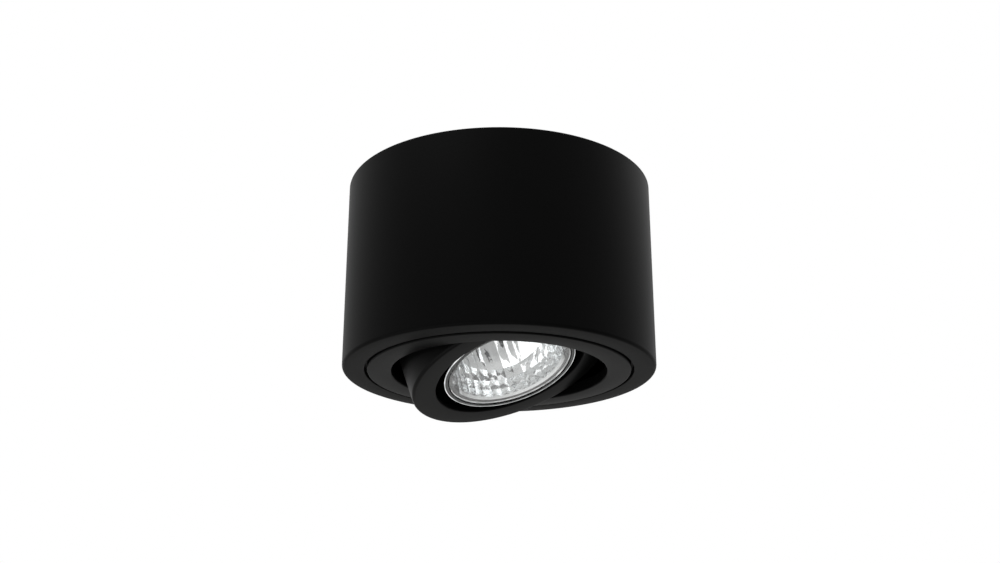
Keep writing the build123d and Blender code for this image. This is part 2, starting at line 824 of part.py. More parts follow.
with BuildPart() as lamp_base:
    base_bottom = lamp_neck_end - lamp_base_grip
    with BuildSketch(lamp_frame.offset(base_bottom)):
        Circle(lamp_base_bore + lamp_base_wall)
    extrude(amount=lamp_shoulder_height - base_bottom)
    with BuildSketch(lamp_frame.offset(base_bottom)):
        Circle(lamp_base_bore)
    extrude(amount=lamp_base_grip, mode=Mode.SUBTRACT)
    with BuildSketch(lamp_frame.offset(lamp_neck_end)):
        Circle(capsule_stem_diameter / 2 + thread_clearance)
    extrude(amount=capsule_stem_end - lamp_neck_end + part_gap, mode=Mode.SUBTRACT)
    with BuildSketch(lamp_frame.offset(lamp_shoulder_height)):
        with GridLocations(1, pin_spacing, 1, 2):
            Circle(pin_shank_diameter / 2 + thread_clearance)
    extrude(amount=-pin_root_length - part_gap, mode=Mode.SUBTRACT)

with BuildPart() as lamp_pins:
    with BuildSketch(lamp_frame.offset(lamp_shoulder_height - pin_root_length)):
        with GridLocations(1, pin_spacing, 1, 2):
            Circle(pin_shank_diameter / 2)
    extrude(amount=pin_root_length + pin_shank_length)
    with BuildSketch(lamp_frame.offset(lamp_shoulder_height + pin_shank_length)):
        with GridLocations(1, pin_spacing, 1, 2):
            Circle(pin_head_diameter / 2)
    extrude(amount=pin_head_height)
    fillet(lamp_pins.faces().sort_by(lamp_axis)[-2:].edges(), pin_head_height / 5)

with BuildPart() as lamp_capsule:
    with BuildSketch(lamp_section):
        with BuildLine():
            Line((0, capsule_tip_height), (0, capsule_tip_height + capsule_wall))
            TangentArc(
                (0, capsule_tip_height + capsule_wall),
                (capsule_radius - capsule_wall, capsule_tip_height + capsule_radius),
                tangent=(1, 0),
            )
            Polyline(
                (capsule_radius - capsule_wall, capsule_tip_height + capsule_radius),
                (capsule_radius - capsule_wall, capsule_bulb_end - capsule_wall),
                (capsule_bore_radius, capsule_bulb_end - capsule_wall),
                (capsule_bore_radius, capsule_stem_end),
                (capsule_stem_diameter / 2, capsule_stem_end),
                (capsule_stem_diameter / 2, capsule_bulb_end),
                (capsule_radius, capsule_bulb_end),
                (capsule_radius, capsule_tip_height + capsule_radius),
            )
            TangentArc(
                (0, capsule_tip_height), (capsule_radius, capsule_tip_height + capsule_radius),
                tangent=(1, 0),
            )
        make_face()
    revolve(axis=lamp_axis)

filament_start = capsule_tip_height + filament_tip_gap
filament_end = filament_start + filament_length
wire_radius = capsule_wire_diameter / 2

with BuildPart() as lamp_filament:
    with BuildSketch(lamp_frame.offset(filament_start)):
        Circle(filament_diameter / 2)
    extrude(amount=filament_length)

with BuildPart() as capsule_wires:
    wire_ends = (filament_start - wire_radius, filament_end + wire_radius)
    for side, height in zip((-1, 1), wire_ends):
        wire_x = side * capsule_wire_spacing / 2
        with BuildLine(lamp_section):
            FilletPolyline(
                (wire_x, capsule_stem_end),
                (wire_x, height),
                (0, height),
                radius=wire_radius * 1.2,
            )
        with BuildSketch(lamp_frame.offset(capsule_stem_end)):
            with Locations((wire_x, 0)):
                Circle(wire_radius)
        sweep()

# ---------------------------------------------------------------- lamp leads

holder_lead_start = holder_front + holder_lead_height
lead_inside = holder_lead_depth - holder_diameter / 2
lead_free_end = -holder_diameter / 2 - holder_exit_length


def holder_exit(x):
    """The first two points of a lamp lead: inside the lampholder and just outside it."""
    return [
        Vector(*lamp_frame.from_local_coords((x, y, holder_lead_start)))
        for y in (lead_inside, lead_free_end)
    ]


clamp_exit = block_y + clamp_length / 2 + part_gap
live_end = Vector(pole_xs[-1], clamp_exit, pole_axis)
live_route = [
    *holder_exit(holder_lead_spacing / 2),
    beside_wall(141, 12.0, -25),
    beside_wall(128.5, 5.9, -21),
    beside_wall(107, 4.5, -17),
    beside_wall(89, 3.7, -13),
    beside_wall(75, 2.4, -9),
    live_end + Vector(0, lead_exit_length, 0),
    live_end,
]
neutral_end = Vector(pole_xs[0], clamp_exit, pole_axis)
neutral_route = [
    *holder_exit(-holder_lead_spacing / 2),
    beside_wall(130, 12.0, -24),
    beside_wall(118, 8.0, -19),
    beside_wall(104, 6.7, -12),
    neutral_end + Vector(0, lead_exit_length, 0),
    neutral_end,
]
live_lead = make_lead("live_lead", live_route, [(live_route[-1], live_route[-2])])
neutral_lead = make_lead("neutral_lead", neutral_route, [(neutral_route[-1], neutral_route[-2])])

# ---------------------------------------------------------------- files

pieces = {
    "housing": housing.part,
    "side_screws": side_screws.part,
    "mounting_plate": mounting_plate.part,
    "cable_bush": cable_bush.part,
    "terminal_block": terminal_block.part,
    "terminal_clamps": terminal_clamps.part,
    "terminal_screws": terminal_screws,
    "block_screws": block_screws,
    "earth_tag": earth_tag.part,
    "earth_screw": earth_screw,
    "earth_lead": earth_lead,
    "ring_clips": ring_clips.part,
    "ring_clip_screws": ring_clip_screws,
    "live_lead": live_lead,
    "neutral_lead": neutral_lead,
    "swivel_ring": swivel_ring.part,
    "pivot_ears": pivot_ears.part,
    "ear_screws": ear_screws,
    "friction_washers": friction_washers.part,
    "tilt_ring": tilt_ring.part,
    "lamp_strap": lamp_strap.part,
    "spring_washers": spring_washers.part,
    "pivot_screws": pivot_screws.part,
    "pivot_nuts": pivot_nuts.part,
    "holder_body": holder_body.part,
    "holder_contacts": holder_contacts.part,
    "holder_screws": holder_screws,
    "lamp_reflector": lamp_reflector.part,
    "lamp_cover_glass": lamp_cover_glass.part,
    "lamp_capsule": lamp_capsule.part,
    "lamp_filament": lamp_filament.part,
    "capsule_wires": capsule_wires.part,
    "lamp_base": lamp_base.part,
    "lamp_pins": lamp_pins.part,
}
os.makedirs("parts", exist_ok=True)
for name, piece in pieces.items():
    piece.label = name
    export_step(piece, f"parts/{name}.step")
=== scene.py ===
import json
from math import cos, pi, radians, sin, sqrt

import bmesh
import bpy
from mathutils import Matrix, Vector


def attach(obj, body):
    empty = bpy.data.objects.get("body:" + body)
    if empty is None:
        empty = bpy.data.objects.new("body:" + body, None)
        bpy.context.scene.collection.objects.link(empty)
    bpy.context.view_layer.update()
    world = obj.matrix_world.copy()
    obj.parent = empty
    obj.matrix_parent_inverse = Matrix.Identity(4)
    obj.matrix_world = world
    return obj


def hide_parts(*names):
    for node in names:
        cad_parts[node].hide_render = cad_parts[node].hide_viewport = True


# Surface mounted ceiling spotlight: a black can on the ceiling, a ring that swivels in its
# bottom opening, and a tilting cup with a halogen reflector lamp. Metres, +Z is up into the
# ceiling. Sizes of the finer pieces are given in millimetres and scaled by MM.

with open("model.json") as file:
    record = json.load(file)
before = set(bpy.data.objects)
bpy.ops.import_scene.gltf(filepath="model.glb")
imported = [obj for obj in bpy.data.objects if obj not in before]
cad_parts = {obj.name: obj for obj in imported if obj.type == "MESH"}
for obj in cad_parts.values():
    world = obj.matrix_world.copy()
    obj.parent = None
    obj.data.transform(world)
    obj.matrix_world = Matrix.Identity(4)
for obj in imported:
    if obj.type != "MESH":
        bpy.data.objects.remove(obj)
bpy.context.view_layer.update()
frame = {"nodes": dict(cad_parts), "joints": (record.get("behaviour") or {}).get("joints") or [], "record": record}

MM = 0.001
SMOOTH_STEPS = 256
CAPSULE_STEPS = 64
SIDE_HOLE_STEPS = 48
BOSS_STEPS = 32
BOSS_HOLE_STEPS = 24
PIVOT_HOLE_STEPS = 32
BOWL_STEPS = 24
BEAD_STEPS = 12
CORNER_STEPS = 6
# how far a cutter reaches past what it cuts, in millimetres
CUT_MARGIN = 1
# points nearer to each other than this are one point, in millimetres
SAME_POINT = 0.0005
SAME_CAD_POINT = 0.001
SAME_FACET_POINT = 0.01
CREASE_ANGLE = radians(32)
FACET_CREASE = radians(5)

# ---------------------------------------------------------------- sizes, in millimetres

CAN_RADIUS = 57.5
CAN_HEIGHT = 71.5
CAN_WALL = 1.8
CAN_EDGE = 1.2
CAN_TOP_EDGE = 0.4
LIP_THICKNESS = 2.0
LIP_RADIUS = 49.4
FINE_EDGE = 0.25
SIDE_HOLE_DEPTH = 8.0
SIDE_HOLE_RADIUS = 1.6
SIDE_HOLE_MOUTH = 2.85
BOSS_RADIUS = 2.4
BOSS_HOLE_RADIUS = 1.3
BOSS_HOLE_DEPTH = 2.7
BOSS_CIRCLE = 53.4
BOSS_ANGLES = (30, 150, 270)
BOSS_TOP = 67.5

RING_RADIUS = 48.4
RING_HOLE_RADIUS = 39.6
RING_FACE = 71.8
RING_EDGE = 0.5
FLANGE_RADIUS = 50.7
FLANGE_BOTTOM = 69.3
FLANGE_TOP = 67.7

CUP_RADIUS = 37.5
CUP_WALL = 1.5
CUP_FACE_DROP = 14.0
CUP_FACE_THICKNESS = 2.0
CUP_TOP = 12.0
CUP_EDGE = 1.2
CUP_BORE_RADIUS = 28.75
CUP_BORE_EDGE = 0.4
CUP_PIVOT_HOLE = 2.05

LAMP_RADIUS = 25.0
LAMP_RIM_HEIGHT = 3.0
LAMP_RIM_EDGE = 0.6
LAMP_OPENING_RADIUS = 21.6
LAMP_SEAT_RADIUS = 23.5
LAMP_SEAT_HEIGHT = 2.1
LAMP_SEAT_EDGE = 0.1
LAMP_SEAT_MOUTH_EDGE = 0.2
LAMP_NECK_RADIUS = 11.2
LAMP_NECK_START = 26.0
LAMP_NECK_END = 31.0
LAMP_HOLE_RADIUS = 6.5
LAMP_HOLE_HEIGHT = 23.6
BOWL_BULGE = 0.13
SILVER_BULGE = 0.1
SILVER_BAND_RADIUS = 20.5
SILVER_BAND_HEIGHT = 3.0
SILVER_THICKNESS = 0.05
SEAT_CLEARANCE = 0.15
RIM_BEAD_RADIUS = 0.22
RIM_BEAD_RECESS = 0.05
JOINT_BEAD_RADIUS = 0.6 * RIM_BEAD_RADIUS
COVER_RADIUS = 23.4
COVER_THICKNESS = 1.8
COVER_RECESS = 0.3
COVER_EDGE = 0.4
COVER_BACK_EDGE = 0.2

CAPSULE_RADIUS = 4.5
CAPSULE_WALL = 0.8
CAPSULE_TIP = 9.0
# radius and height over the tip of each point of the drawn nib
CAPSULE_NIB = ((0, -0.9), (0.55, -0.6), (0.75, -0.05))
CAPSULE_DOME_DEGREES = range(14, 91, 6)
CAPSULE_HOLLOW_DEGREES = range(0, 91, 9)
# how far before the bulb's end these are
CAPSULE_SHOULDER = 1.5
CAPSULE_HOLLOW_SHOULDER = 2.5
CAPSULE_HOLLOW_END = 1.2
CAPSULE_BULB_END = 26.0
CAPSULE_STEM_RADIUS = 3.5
CAPSULE_STEM_END = 37.0
FILAMENT_START = 13.3
FILAMENT_END = 20.7
FILAMENT_RADIUS = 0.5
FILAMENT_WIRE = 0.12
FILAMENT_TURNS = 14.0

SCREW_HEAD_HEIGHT = 1.5
PIVOT_HEAD_HEIGHT = 2.0
COUNTERSINK_DEPTH = 1.25
SCREW_STEPS = 40
THREAD_DEPTH = 0.16
# turns of thread to each shank radius of length, and the drive's width over that radius
THREADS_PER_RADIUS = 3
DRIVE_SHARE = 0.5

# ---------------------------------------------------------------- places, from the frame

joints = {joint["name"]: joint for joint in frame["joints"]}
pivot = Vector(joints["head_tilt"]["pos_m"])
tilt_axis = Vector(joints["head_tilt"]["axis"]).normalized()
lamp_front = Vector(joints["lamp_twist"]["pos_m"])
lamp_back = -Vector(joints["lamp_twist"]["axis"]).normalized()
lamp_side = lamp_back.cross(tilt_axis).normalized()
bodies = frame["record"]["behaviour"]["bodies"]
body_of = {node: body for body, nodes in bodies.items() for node in nodes}


def place_on(origin, x_axis, z_axis):
    """The matrix that puts a piece made about the origin on a place with those axes."""
    y_axis = z_axis.cross(x_axis)
    rotation = Matrix((x_axis, y_axis, z_axis)).transposed().to_4x4()
    return Matrix.Translation(origin) @ rotation


CAN_PLACE = Matrix.Identity(4)
CUP_PLACE = place_on(pivot, tilt_axis, tilt_axis.cross(lamp_side))
LAMP_PLACE = place_on(lamp_front, lamp_side.cross(lamp_back), lamp_back)

# ---------------------------------------------------------------- nodes and materials


def linear(hex_colour):
    """An sRGB hex colour as the linear RGBA that a shader socket takes."""
    parts = [int(hex_colour[i : i + 2], 16) / 255 for i in (1, 3, 5)]
    return (*[c / 12.92 if c <= 0.04045 else ((c + 0.055) / 1.055) ** 2.4 for c in parts], 1)


def add(tree, kind, inputs=None, **settings):
    """Adds a node with its settings; an input takes a value, a socket or a node's first output."""
    node = tree.nodes.new(kind)
    for name, value in settings.items():
        setattr(node, name, value)
    for socket, value in (inputs or {}).items():
        if isinstance(value, bpy.types.Node):
            value = value.outputs[0]
        if isinstance(value, bpy.types.NodeSocket):
            tree.links.new(value, node.inputs[socket])
        else:
            node.inputs[socket].default_value = value
    return node


def per_mm(size):
    """The texture scale at which a pattern on Object coordinates repeats every size mm."""
    return 1 / (size * MM)


def new_material(name):
    """A material with an empty tree, the tree, and the piece's own coordinates in metres."""
    material = bpy.data.materials.new(name)
    material.use_nodes = True
    tree = material.node_tree
    tree.nodes.clear()
    return material, tree, add(tree, "ShaderNodeTexCoord").outputs["Object"]


def shade(tree, inputs):
    """Ends a material's tree in one Principled shader with these inputs."""
    shader = add(tree, "ShaderNodeBsdfPrincipled", inputs)
    add(tree, "ShaderNodeOutputMaterial", {"Surface": shader})


# a Wave texture of scale 1 has about this many bands to each unit
WAVES_PER_UNIT = 20 / (2 * pi)


def powder_coat(name, dark, pale, roughness, gloss):
    """Polyester powder, sprayed and baked: near black, with a low sheen that grows where the
    surface turns away, and a fine orange peel of about a millimetre."""
    material, tree, where = new_material(name)
    peel = add(tree, "ShaderNodeTexNoise", {"Vector": where, "Scale": per_mm(0.9), "Detail": 2.0})
    grit = add(tree, "ShaderNodeTexNoise", {"Vector": where, "Scale": per_mm(0.3), "Detail": 1.0})
    cloud = add(tree, "ShaderNodeTexNoise", {"Vector": where, "Scale": per_mm(18), "Detail": 3.0})
    tone = add(tree, "ShaderNodeMix", {0: cloud, 6: linear(dark), 7: linear(pale)}, data_type="RGBA")
    rough = add(tree, "ShaderNodeMapRange", {0: grit, 3: roughness - 0.05, 4: roughness + 0.05})
    skin = add(tree, "ShaderNodeMath", {0: peel, 1: grit}, operation="ADD")
    bump = add(tree, "ShaderNodeBump", {"Height": skin, "Strength": 0.5, "Distance": 0.02 * MM})
    finish = {"Base Color": tone.outputs[2], "Roughness": rough, "Specular IOR Level": gloss}
    shade(tree, {**finish, "Normal": bump})
    return material


def drawn_metal(name, dark, pale, roughness, line_width=0.4, line_length=6.0, glow=0.0):
    """Bare or plated metal: coloured gloss, streaked by the fine lines of rolling or turning. With
    a glow it gives off light of its own."""
    material, tree, where = new_material(name)
    run = (per_mm(line_length), per_mm(line_width), per_mm(line_width))
    lines = add(tree, "ShaderNodeMapping", {"Vector": where, "Scale": run})
    noise = add(tree, "ShaderNodeTexNoise", {"Vector": lines, "Scale": 1.0, "Detail": 3.0})
    tone = add(tree, "ShaderNodeMix", {0: noise, 6: linear(dark), 7: linear(pale)}, data_type="RGBA")
    rough = add(tree, "ShaderNodeMapRange", {0: noise, 3: roughness - 0.08, 4: roughness + 0.08})
    bump = add(tree, "ShaderNodeBump", {"Height": noise, "Strength": 0.4, "Distance": 0.01 * MM})
    finish = {"Base Color": tone.outputs[2], "Roughness": rough, "Metallic": 1.0}
    light = {"Emission Color": linear(pale), "Emission Strength": glow}
    shade(tree, {**finish, **light, "Normal": bump})
    return material


def moulded(name, dark, pale, roughness, grain, gloss=0.5):
    """Moulded plastic or rubber, or pressed ceramic: an even colour under a fine grain."""
    material, tree, where = new_material(name)
    noise = add(tree, "ShaderNodeTexNoise", {"Vector": where, "Scale": per_mm(grain), "Detail": 2.0})
    tone = add(tree, "ShaderNodeMix", {0: noise, 6: linear(dark), 7: linear(pale)}, data_type="RGBA")
    rough = add(tree, "ShaderNodeMapRange", {0: noise, 3: roughness - 0.05, 4: roughness + 0.05})
    bump = add(tree, "ShaderNodeBump", {"Height": noise, "Strength": 0.4, "Distance": 0.02 * MM})
    finish = {"Base Color": tone.outputs[2], "Roughness": rough, "Specular IOR Level": gloss}
    shade(tree, {**finish, "Normal": bump})
    return material


def zinc_sheet():
    """Electro-galvanised steel sheet: bluish silver, slightly clouded, with rolling lines."""
    material, tree, where = new_material("electro_galvanised_sheet")
    cloud = add(tree, "ShaderNodeTexNoise", {"Vector": where, "Scale": per_mm(9), "Detail": 4.0})
    colours = {6: linear("#a9adb2"), 7: linear("#d3d5d8")}
    tone = add(tree, "ShaderNodeMix", {0: cloud, **colours}, data_type="RGBA")
    run = (per_mm(14), per_mm(0.5), per_mm(0.5))
    lines = add(tree, "ShaderNodeMapping", {"Vector": where, "Scale": run})
    grain = add(tree, "ShaderNodeTexNoise", {"Vector": lines, "Scale": 1.0, "Detail": 3.0})
    rough = add(tree, "ShaderNodeMapRange", {0: grain, 3: 0.26, 4: 0.5})
    bump = add(tree, "ShaderNodeBump", {"Height": grain, "Strength": 0.5, "Distance": 0.01 * MM})
    finish = {"Base Color": tone.outputs[2], "Roughness": rough, "Metallic": 1.0}
    shade(tree, {**finish, "Normal": bump})
    return material


def striped_sleeve():
    """Extruded PVC sleeve of an earth core: green, with yellow stripes that wind round it."""
    material, tree, where = new_material("green_and_yellow_pvc_sleeve")
    stripes = add(
        tree,
        "ShaderNodeTexWave",
        {"Vector": where, "Scale": per_mm(3.2) / WAVES_PER_UNIT, "Distortion": 0.0},
        bands_direction="DIAGONAL",
    )
    side = add(tree, "ShaderNodeMath", {0: stripes.outputs[1], 1: 0.55}, operation="GREATER_THAN")
    colours = {6: linear("#2f7d2c"), 7: linear("#d9c92a")}
    tone = add(tree, "ShaderNodeMix", {0: side, **colours}, data_type="RGBA")
    shade(tree, {"Base Color": tone.outputs[2], "Roughness": 0.4})
    return material


def braided_sleeve(name, dark, pale):
    """Braided glass-fibre sleeve with silicone varnish: a dull sheen on a fine diagonal weave."""
    material, tree, where = new_material(name)
    across = add(tree, "ShaderNodeMapping", {"Vector": where, "Rotation": (0, 0, pi / 2)})
    scale = per_mm(0.8) / WAVES_PER_UNIT
    strands = [
        add(
            tree,
            "ShaderNodeTexWave",
            {"Vector": course, "Scale": scale},
            bands_direction="DIAGONAL",
        ).outputs[1]
        for course in (where, across)
    ]
    weave = add(tree, "ShaderNodeMath", {0: strands[0], 1: strands[1]}, operation="MULTIPLY")
    tone = add(tree, "ShaderNodeMix", {0: weave, 6: linear(dark), 7: linear(pale)}, data_type="RGBA")
    bump = add(tree, "ShaderNodeBump", {"Height": weave, "Strength": 0.6, "Distance": 0.08 * MM})
    shade(tree, {"Base Color": tone.outputs[2], "Roughness": 0.55, "Normal": bump})
    return material


def vapour_silver():
    """Aluminium vapour on pressed glass: a mirror with the faint waves of the pressing."""
    material, tree, where = new_material("vapour_coated_aluminium")
    waves = add(tree, "ShaderNodeTexNoise", {"Vector": where, "Scale": per_mm(1.6), "Detail": 3.0})
    rough = add(tree, "ShaderNodeMapRange", {0: waves, 3: 0.01, 4: 0.07})
    bump = add(tree, "ShaderNodeBump", {"Height": waves, "Strength": 0.5, "Distance": 0.04 * MM})
    finish = {"Base Color": linear("#eff1f2"), "Roughness": rough, "Metallic": 1.0}
    shade(tree, {**finish, "Normal": bump})
    return material


def clear_glass(name, tint, wave_size, waviness, roughness=0.0):
    """Pressed borosilicate or fused quartz: clear, with bright edges and a slightly uneven face."""
    material, tree, where = new_material(name)
    size = {"Scale": per_mm(wave_size), "Detail": 1.0}
    waves = add(tree, "ShaderNodeTexNoise", {"Vector": where, **size})
    bump = add(tree, "ShaderNodeBump", {"Height": waves, "Strength": 0.4, "Distance": waviness * MM})
    finish = {"Base Color": linear(tint), "Roughness": roughness, "IOR": 1.47}
    shade(tree, {**finish, "Transmission Weight": 1.0, "Normal": bump})
    return material


def painted_edge_highlight():
    """Fire-polished corner of the glass with a painted highlight: a near-white colour and a glow of its own,
    though it is no lamp, make it show as a thin bright line."""
    material, tree, where = new_material("glass_edge_painted_highlight")
    waves = add(tree, "ShaderNodeTexNoise", {"Vector": where, "Scale": per_mm(4), "Detail": 2.0})
    colours = {6: linear("#b9c0c2"), 7: linear("#fbfcfc")}
    tone = add(tree, "ShaderNodeMix", {0: waves, **colours}, data_type="RGBA")
    light = add(tree, "ShaderNodeMapRange", {0: waves, 1: 0.3, 2: 0.7, 3: 0.15, 4: 0.6})
    finish = {"Base Color": tone.outputs[2], "Roughness": 0.2, "Emission Color": (1, 1, 1, 1)}
    shade(tree, {**finish, "Emission Strength": light})
    return material


# The can shows least gloss, the ring a little more, and the cup most
MATT_BLACK = powder_coat("matt_black_polyester_powder_coat", "#030303", "#050505", 0.46, 0.036)
SATIN_BLACK = powder_coat("satin_black_polyester_powder_coat", "#040404", "#060606", 0.4, 0.041)
CUP_BLACK = powder_coat("silky_black_polyester_powder_coat", "#050505", "#080808", 0.4, 0.056)
ZINC = zinc_sheet()
# Blackened steel: dark grey metal with a soft oily gloss
BLACK_OXIDE = drawn_metal("black_oxide_steel", "#1c1c1d", "#2a2a2b", 0.42)
# Zinc-plated screws: pale grey and bright on their edges
BRIGHT_ZINC = drawn_metal("bright_zinc_plated_steel", "#b4b6b6", "#d2d2d0", 0.3)
# Hardened and tempered strip: mid grey with long polishing lines
SPRING_STEEL = drawn_metal("tempered_spring_steel", "#8d8f93", "#b0b2b5", 0.3)
# Turned brass: warm yellow, with the tool's close rings
BRASS = drawn_metal("turned_brass", "#b08d4a", "#d0ad66", 0.28)
# Copper dipped in tin: a soft greyish white
TINNED = drawn_metal("tinned_copper", "#a9a7a2", "#c9c7c1", 0.32)
# Drawn tungsten, coloured amber with a painted glow of its own though the lamp is off: it shows as an amber spot
# through the quartz
GLOWING_TUNGSTEN = drawn_metal(
    "amber_tungsten_painted_glow", "#d98a1e", "#f4b54a", 0.4, line_width=0.1, line_length=0.5, glow=0.9
)
# Vulcanised bush: dull black with no clear highlight
RUBBER = moulded("vulcanised_black_rubber", "#121212", "#1b1b1b", 0.72, 0.8, 0.3)
# Injection-moulded terminal block: milky white with a soft gloss
POLYAMIDE = moulded("natural_polyamide", "#d9d7cd", "#e6e4dc", 0.45, 1.2)
# Stamped acetal washers: black and a little waxy
WASHER = moulded("black_acetal", "#161616", "#222222", 0.38, 0.6)
# Pressed and fired steatite: creamy white, dry and slightly sandy
STEATITE = moulded("unglazed_steatite", "#d9d5c9", "#ebe8df", 0.75, 0.35, 0.3)
EARTH_SLEEVE = striped_sleeve()
LIVE_SLEEVE = braided_sleeve("brown_varnished_glass_fibre", "#3d2114", "#6b4029")
NEUTRAL_SLEEVE = braided_sleeve("blue_varnished_glass_fibre", "#1d3a66", "#39619b")
SILVER = vapour_silver()
# Glass corner with a painted highlight: near white, and glowing though it is no lamp
PAINTED_EDGE_HIGHLIGHT = painted_edge_highlight()
CLEAR_GLASS = clear_glass("clear_borosilicate_sheet", "#ffffff", 3.0, 0.02)
# The bowl's glass is tinted dark grey, painted shade that makes it look dark where one sees along its wall
BOWL_GLASS_PAINTED_DARK = clear_glass("pressed_borosilicate_bowl_painted_dark", "#2e3132", 3.0, 0.02)
# Fused quartz, faintly frosted by its working in the flame
QUARTZ = clear_glass("flame_worked_quartz", "#eceff0", 0.9, 0.35, 0.05)

# ---------------------------------------------------------------- turned pieces


def rounded(outline, closed=True):
    """Points of an outline whose corners, given as (radius, height, edge), are rounded."""
    points = []
    count = len(outline)
    for i, corner in enumerate(outline):
        here = Vector(corner[:2])
        edge = corner[2] if len(corner) > 2 else 0
        if not edge or (not closed and i in (0, count - 1)):
            points.append(here)
            continue
        before = (Vector(outline[i - 1][:2]) - here).normalized()
        after = (Vector(outline[(i + 1) % count][:2]) - here).normalized()
        half = before.angle(after) / 2
        run = edge / sqrt(1 / cos(half) ** 2 - 1) if half else 0
        centre = here + (before + after).normalized() * edge / sin(half)
        start = here + before * run - centre
        turn = start.angle_signed(here + after * run - centre)
        for step in range(CORNER_STEPS + 1):
            angle = -turn * step / CORNER_STEPS
            points.append(centre + Matrix.Rotation(angle, 2) @ start)
    return points


def finish_mesh(bm, name, place, material, crease=CREASE_ANGLE):
    """A piece from a bmesh made in millimetres about the origin, put on its place."""
    bmesh.ops.remove_doubles(bm, verts=bm.verts, dist=SAME_POINT)
    bmesh.ops.recalc_face_normals(bm, faces=bm.faces)
    mesh = bpy.data.meshes.new(name)
    bm.to_mesh(mesh)
    bm.free()
    mesh.transform(place @ Matrix.Scale(MM, 4))
    mesh.shade_smooth()
    mesh.set_sharp_from_angle(angle=crease)
    mesh.materials.append(material)
    piece = bpy.data.objects.new(name, mesh)
    bpy.context.scene.collection.objects.link(piece)
    return piece


def turned(name, outline, place, material, steps=SMOOTH_STEPS, closed=True):
    """A piece turned on a lathe: an outline of radius and height, run round the z axis."""
    bm = bmesh.new()
    corners = [bm.verts.new((p[0], 0, p[1])) for p in outline]
    after = corners[1:] + corners[:1] if closed else corners[1:]
    edges = [bm.edges.new(pair) for pair in zip(corners, after)]
    bmesh.ops.spin(
        bm, geom=corners + edges, axis=(0, 0, 1), cent=(0, 0, 0), angle=2 * pi, steps=steps
    )
    return finish_mesh(bm, name, place, material)


def drill(piece, cutters, operation="DIFFERENCE"):
    """Cuts solids out of a piece, or joins them to it, and keeps it a plain mesh."""
    for cutter in cutters:
        modifier = piece.modifiers.new("cut", "BOOLEAN")
        modifier.object = cutter
        modifier.operation = operation
        modifier.solver = "EXACT"
    graph = bpy.context.evaluated_depsgraph_get()
    cut = bpy.data.meshes.new_from_object(piece.evaluated_get(graph))
    piece.modifiers.clear()
    piece.data = cut
    cut.set_sharp_from_angle(angle=CREASE_ANGLE)
    for cutter in cutters:
        bpy.data.objects.remove(cutter)


def seat(piece, body, slot, *nodes):
    """Puts a finished piece on its body in place of its CAD nodes; the slot is not used."""
    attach(piece, body)
    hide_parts(*nodes)


def at_bosses(name, outline, steps):
    """The same turned solid at each of the bosses that the ring's clips are screwed to."""
    solids = []
    for angle in BOSS_ANGLES:
        at = Matrix.Rotation(radians(angle), 4, "Z") @ Matrix.Translation((BOSS_CIRCLE * MM, 0, 0))
        solids.append(turned(name, outline, at, MATT_BLACK, steps, closed=False))
    return solids


def make_housing():
    """Deep-drawn aluminium can with a rolled lower edge and an inward lip."""
    inner = CAN_RADIUS - CAN_WALL
    outline = rounded(
        [
            (inner, 0, FINE_EDGE),
            (CAN_RADIUS, 0, CAN_TOP_EDGE),
            (CAN_RADIUS, -CAN_HEIGHT, CAN_EDGE),
            (LIP_RADIUS, -CAN_HEIGHT, FINE_EDGE),
            (LIP_RADIUS, LIP_THICKNESS - CAN_HEIGHT, FINE_EDGE),
            (inner, LIP_THICKNESS - CAN_HEIGHT, CAN_WALL / 2),
        ]
    )
    housing = turned("housing_can", outline, CAN_PLACE, MATT_BLACK)
    root = -CAN_HEIGHT + LIP_THICKNESS / 2
    boss = [(0, root), (BOSS_RADIUS, root), (BOSS_RADIUS, -BOSS_TOP), (0, -BOSS_TOP)]
    drill(housing, at_bosses("boss", boss, BOSS_STEPS), "UNION")
    sink = SIDE_HOLE_MOUTH - SIDE_HOLE_RADIUS
    outline = [
        (0, inner - CUT_MARGIN),
        (SIDE_HOLE_RADIUS, inner - CUT_MARGIN),
        (SIDE_HOLE_RADIUS, CAN_RADIUS - sink),
        (SIDE_HOLE_MOUTH + CUT_MARGIN, CAN_RADIUS + CUT_MARGIN),
        (0, CAN_RADIUS + CUT_MARGIN),
    ]
    holes = []
    for side in (0, 180):
        turn = Matrix.Rotation(radians(side), 4, "Z") @ Matrix.Rotation(pi / 2, 4, "Y")
        at = Matrix.Translation((0, 0, -SIDE_HOLE_DEPTH * MM)) @ turn
        holes.append(turned("hole", outline, at, MATT_BLACK, SIDE_HOLE_STEPS, closed=False))
    outline = [
        (0, -BOSS_TOP - BOSS_HOLE_DEPTH),
        (BOSS_HOLE_RADIUS, -BOSS_TOP - BOSS_HOLE_DEPTH),
        (BOSS_HOLE_RADIUS, -BOSS_TOP + CUT_MARGIN),
        (0, -BOSS_TOP + CUT_MARGIN),
    ]
    drill(housing, holes + at_bosses("hole", outline, BOSS_HOLE_STEPS))
    seat(housing, "can", "housing_coat", "housing")


def make_swivel_ring():
    """Die-cast ring that lies in the lip's opening, with a flange above the lip."""
    outline = rounded(
        [
            (RING_HOLE_RADIUS, -RING_FACE, RING_EDGE),
            (RING_RADIUS, -RING_FACE, RING_EDGE),
            (RING_RADIUS, -FLANGE_BOTTOM),
            (FLANGE_RADIUS, -FLANGE_BOTTOM, FINE_EDGE),
            (FLANGE_RADIUS, -FLANGE_TOP, FINE_EDGE),
            (RING_HOLE_RADIUS, -FLANGE_TOP, FINE_EDGE),
        ]
    )
    ring = turned("swivel_ring_casting", outline, CAN_PLACE, SATIN_BLACK)
    seat(ring, "swivel", "ring_coat", "swivel_ring")


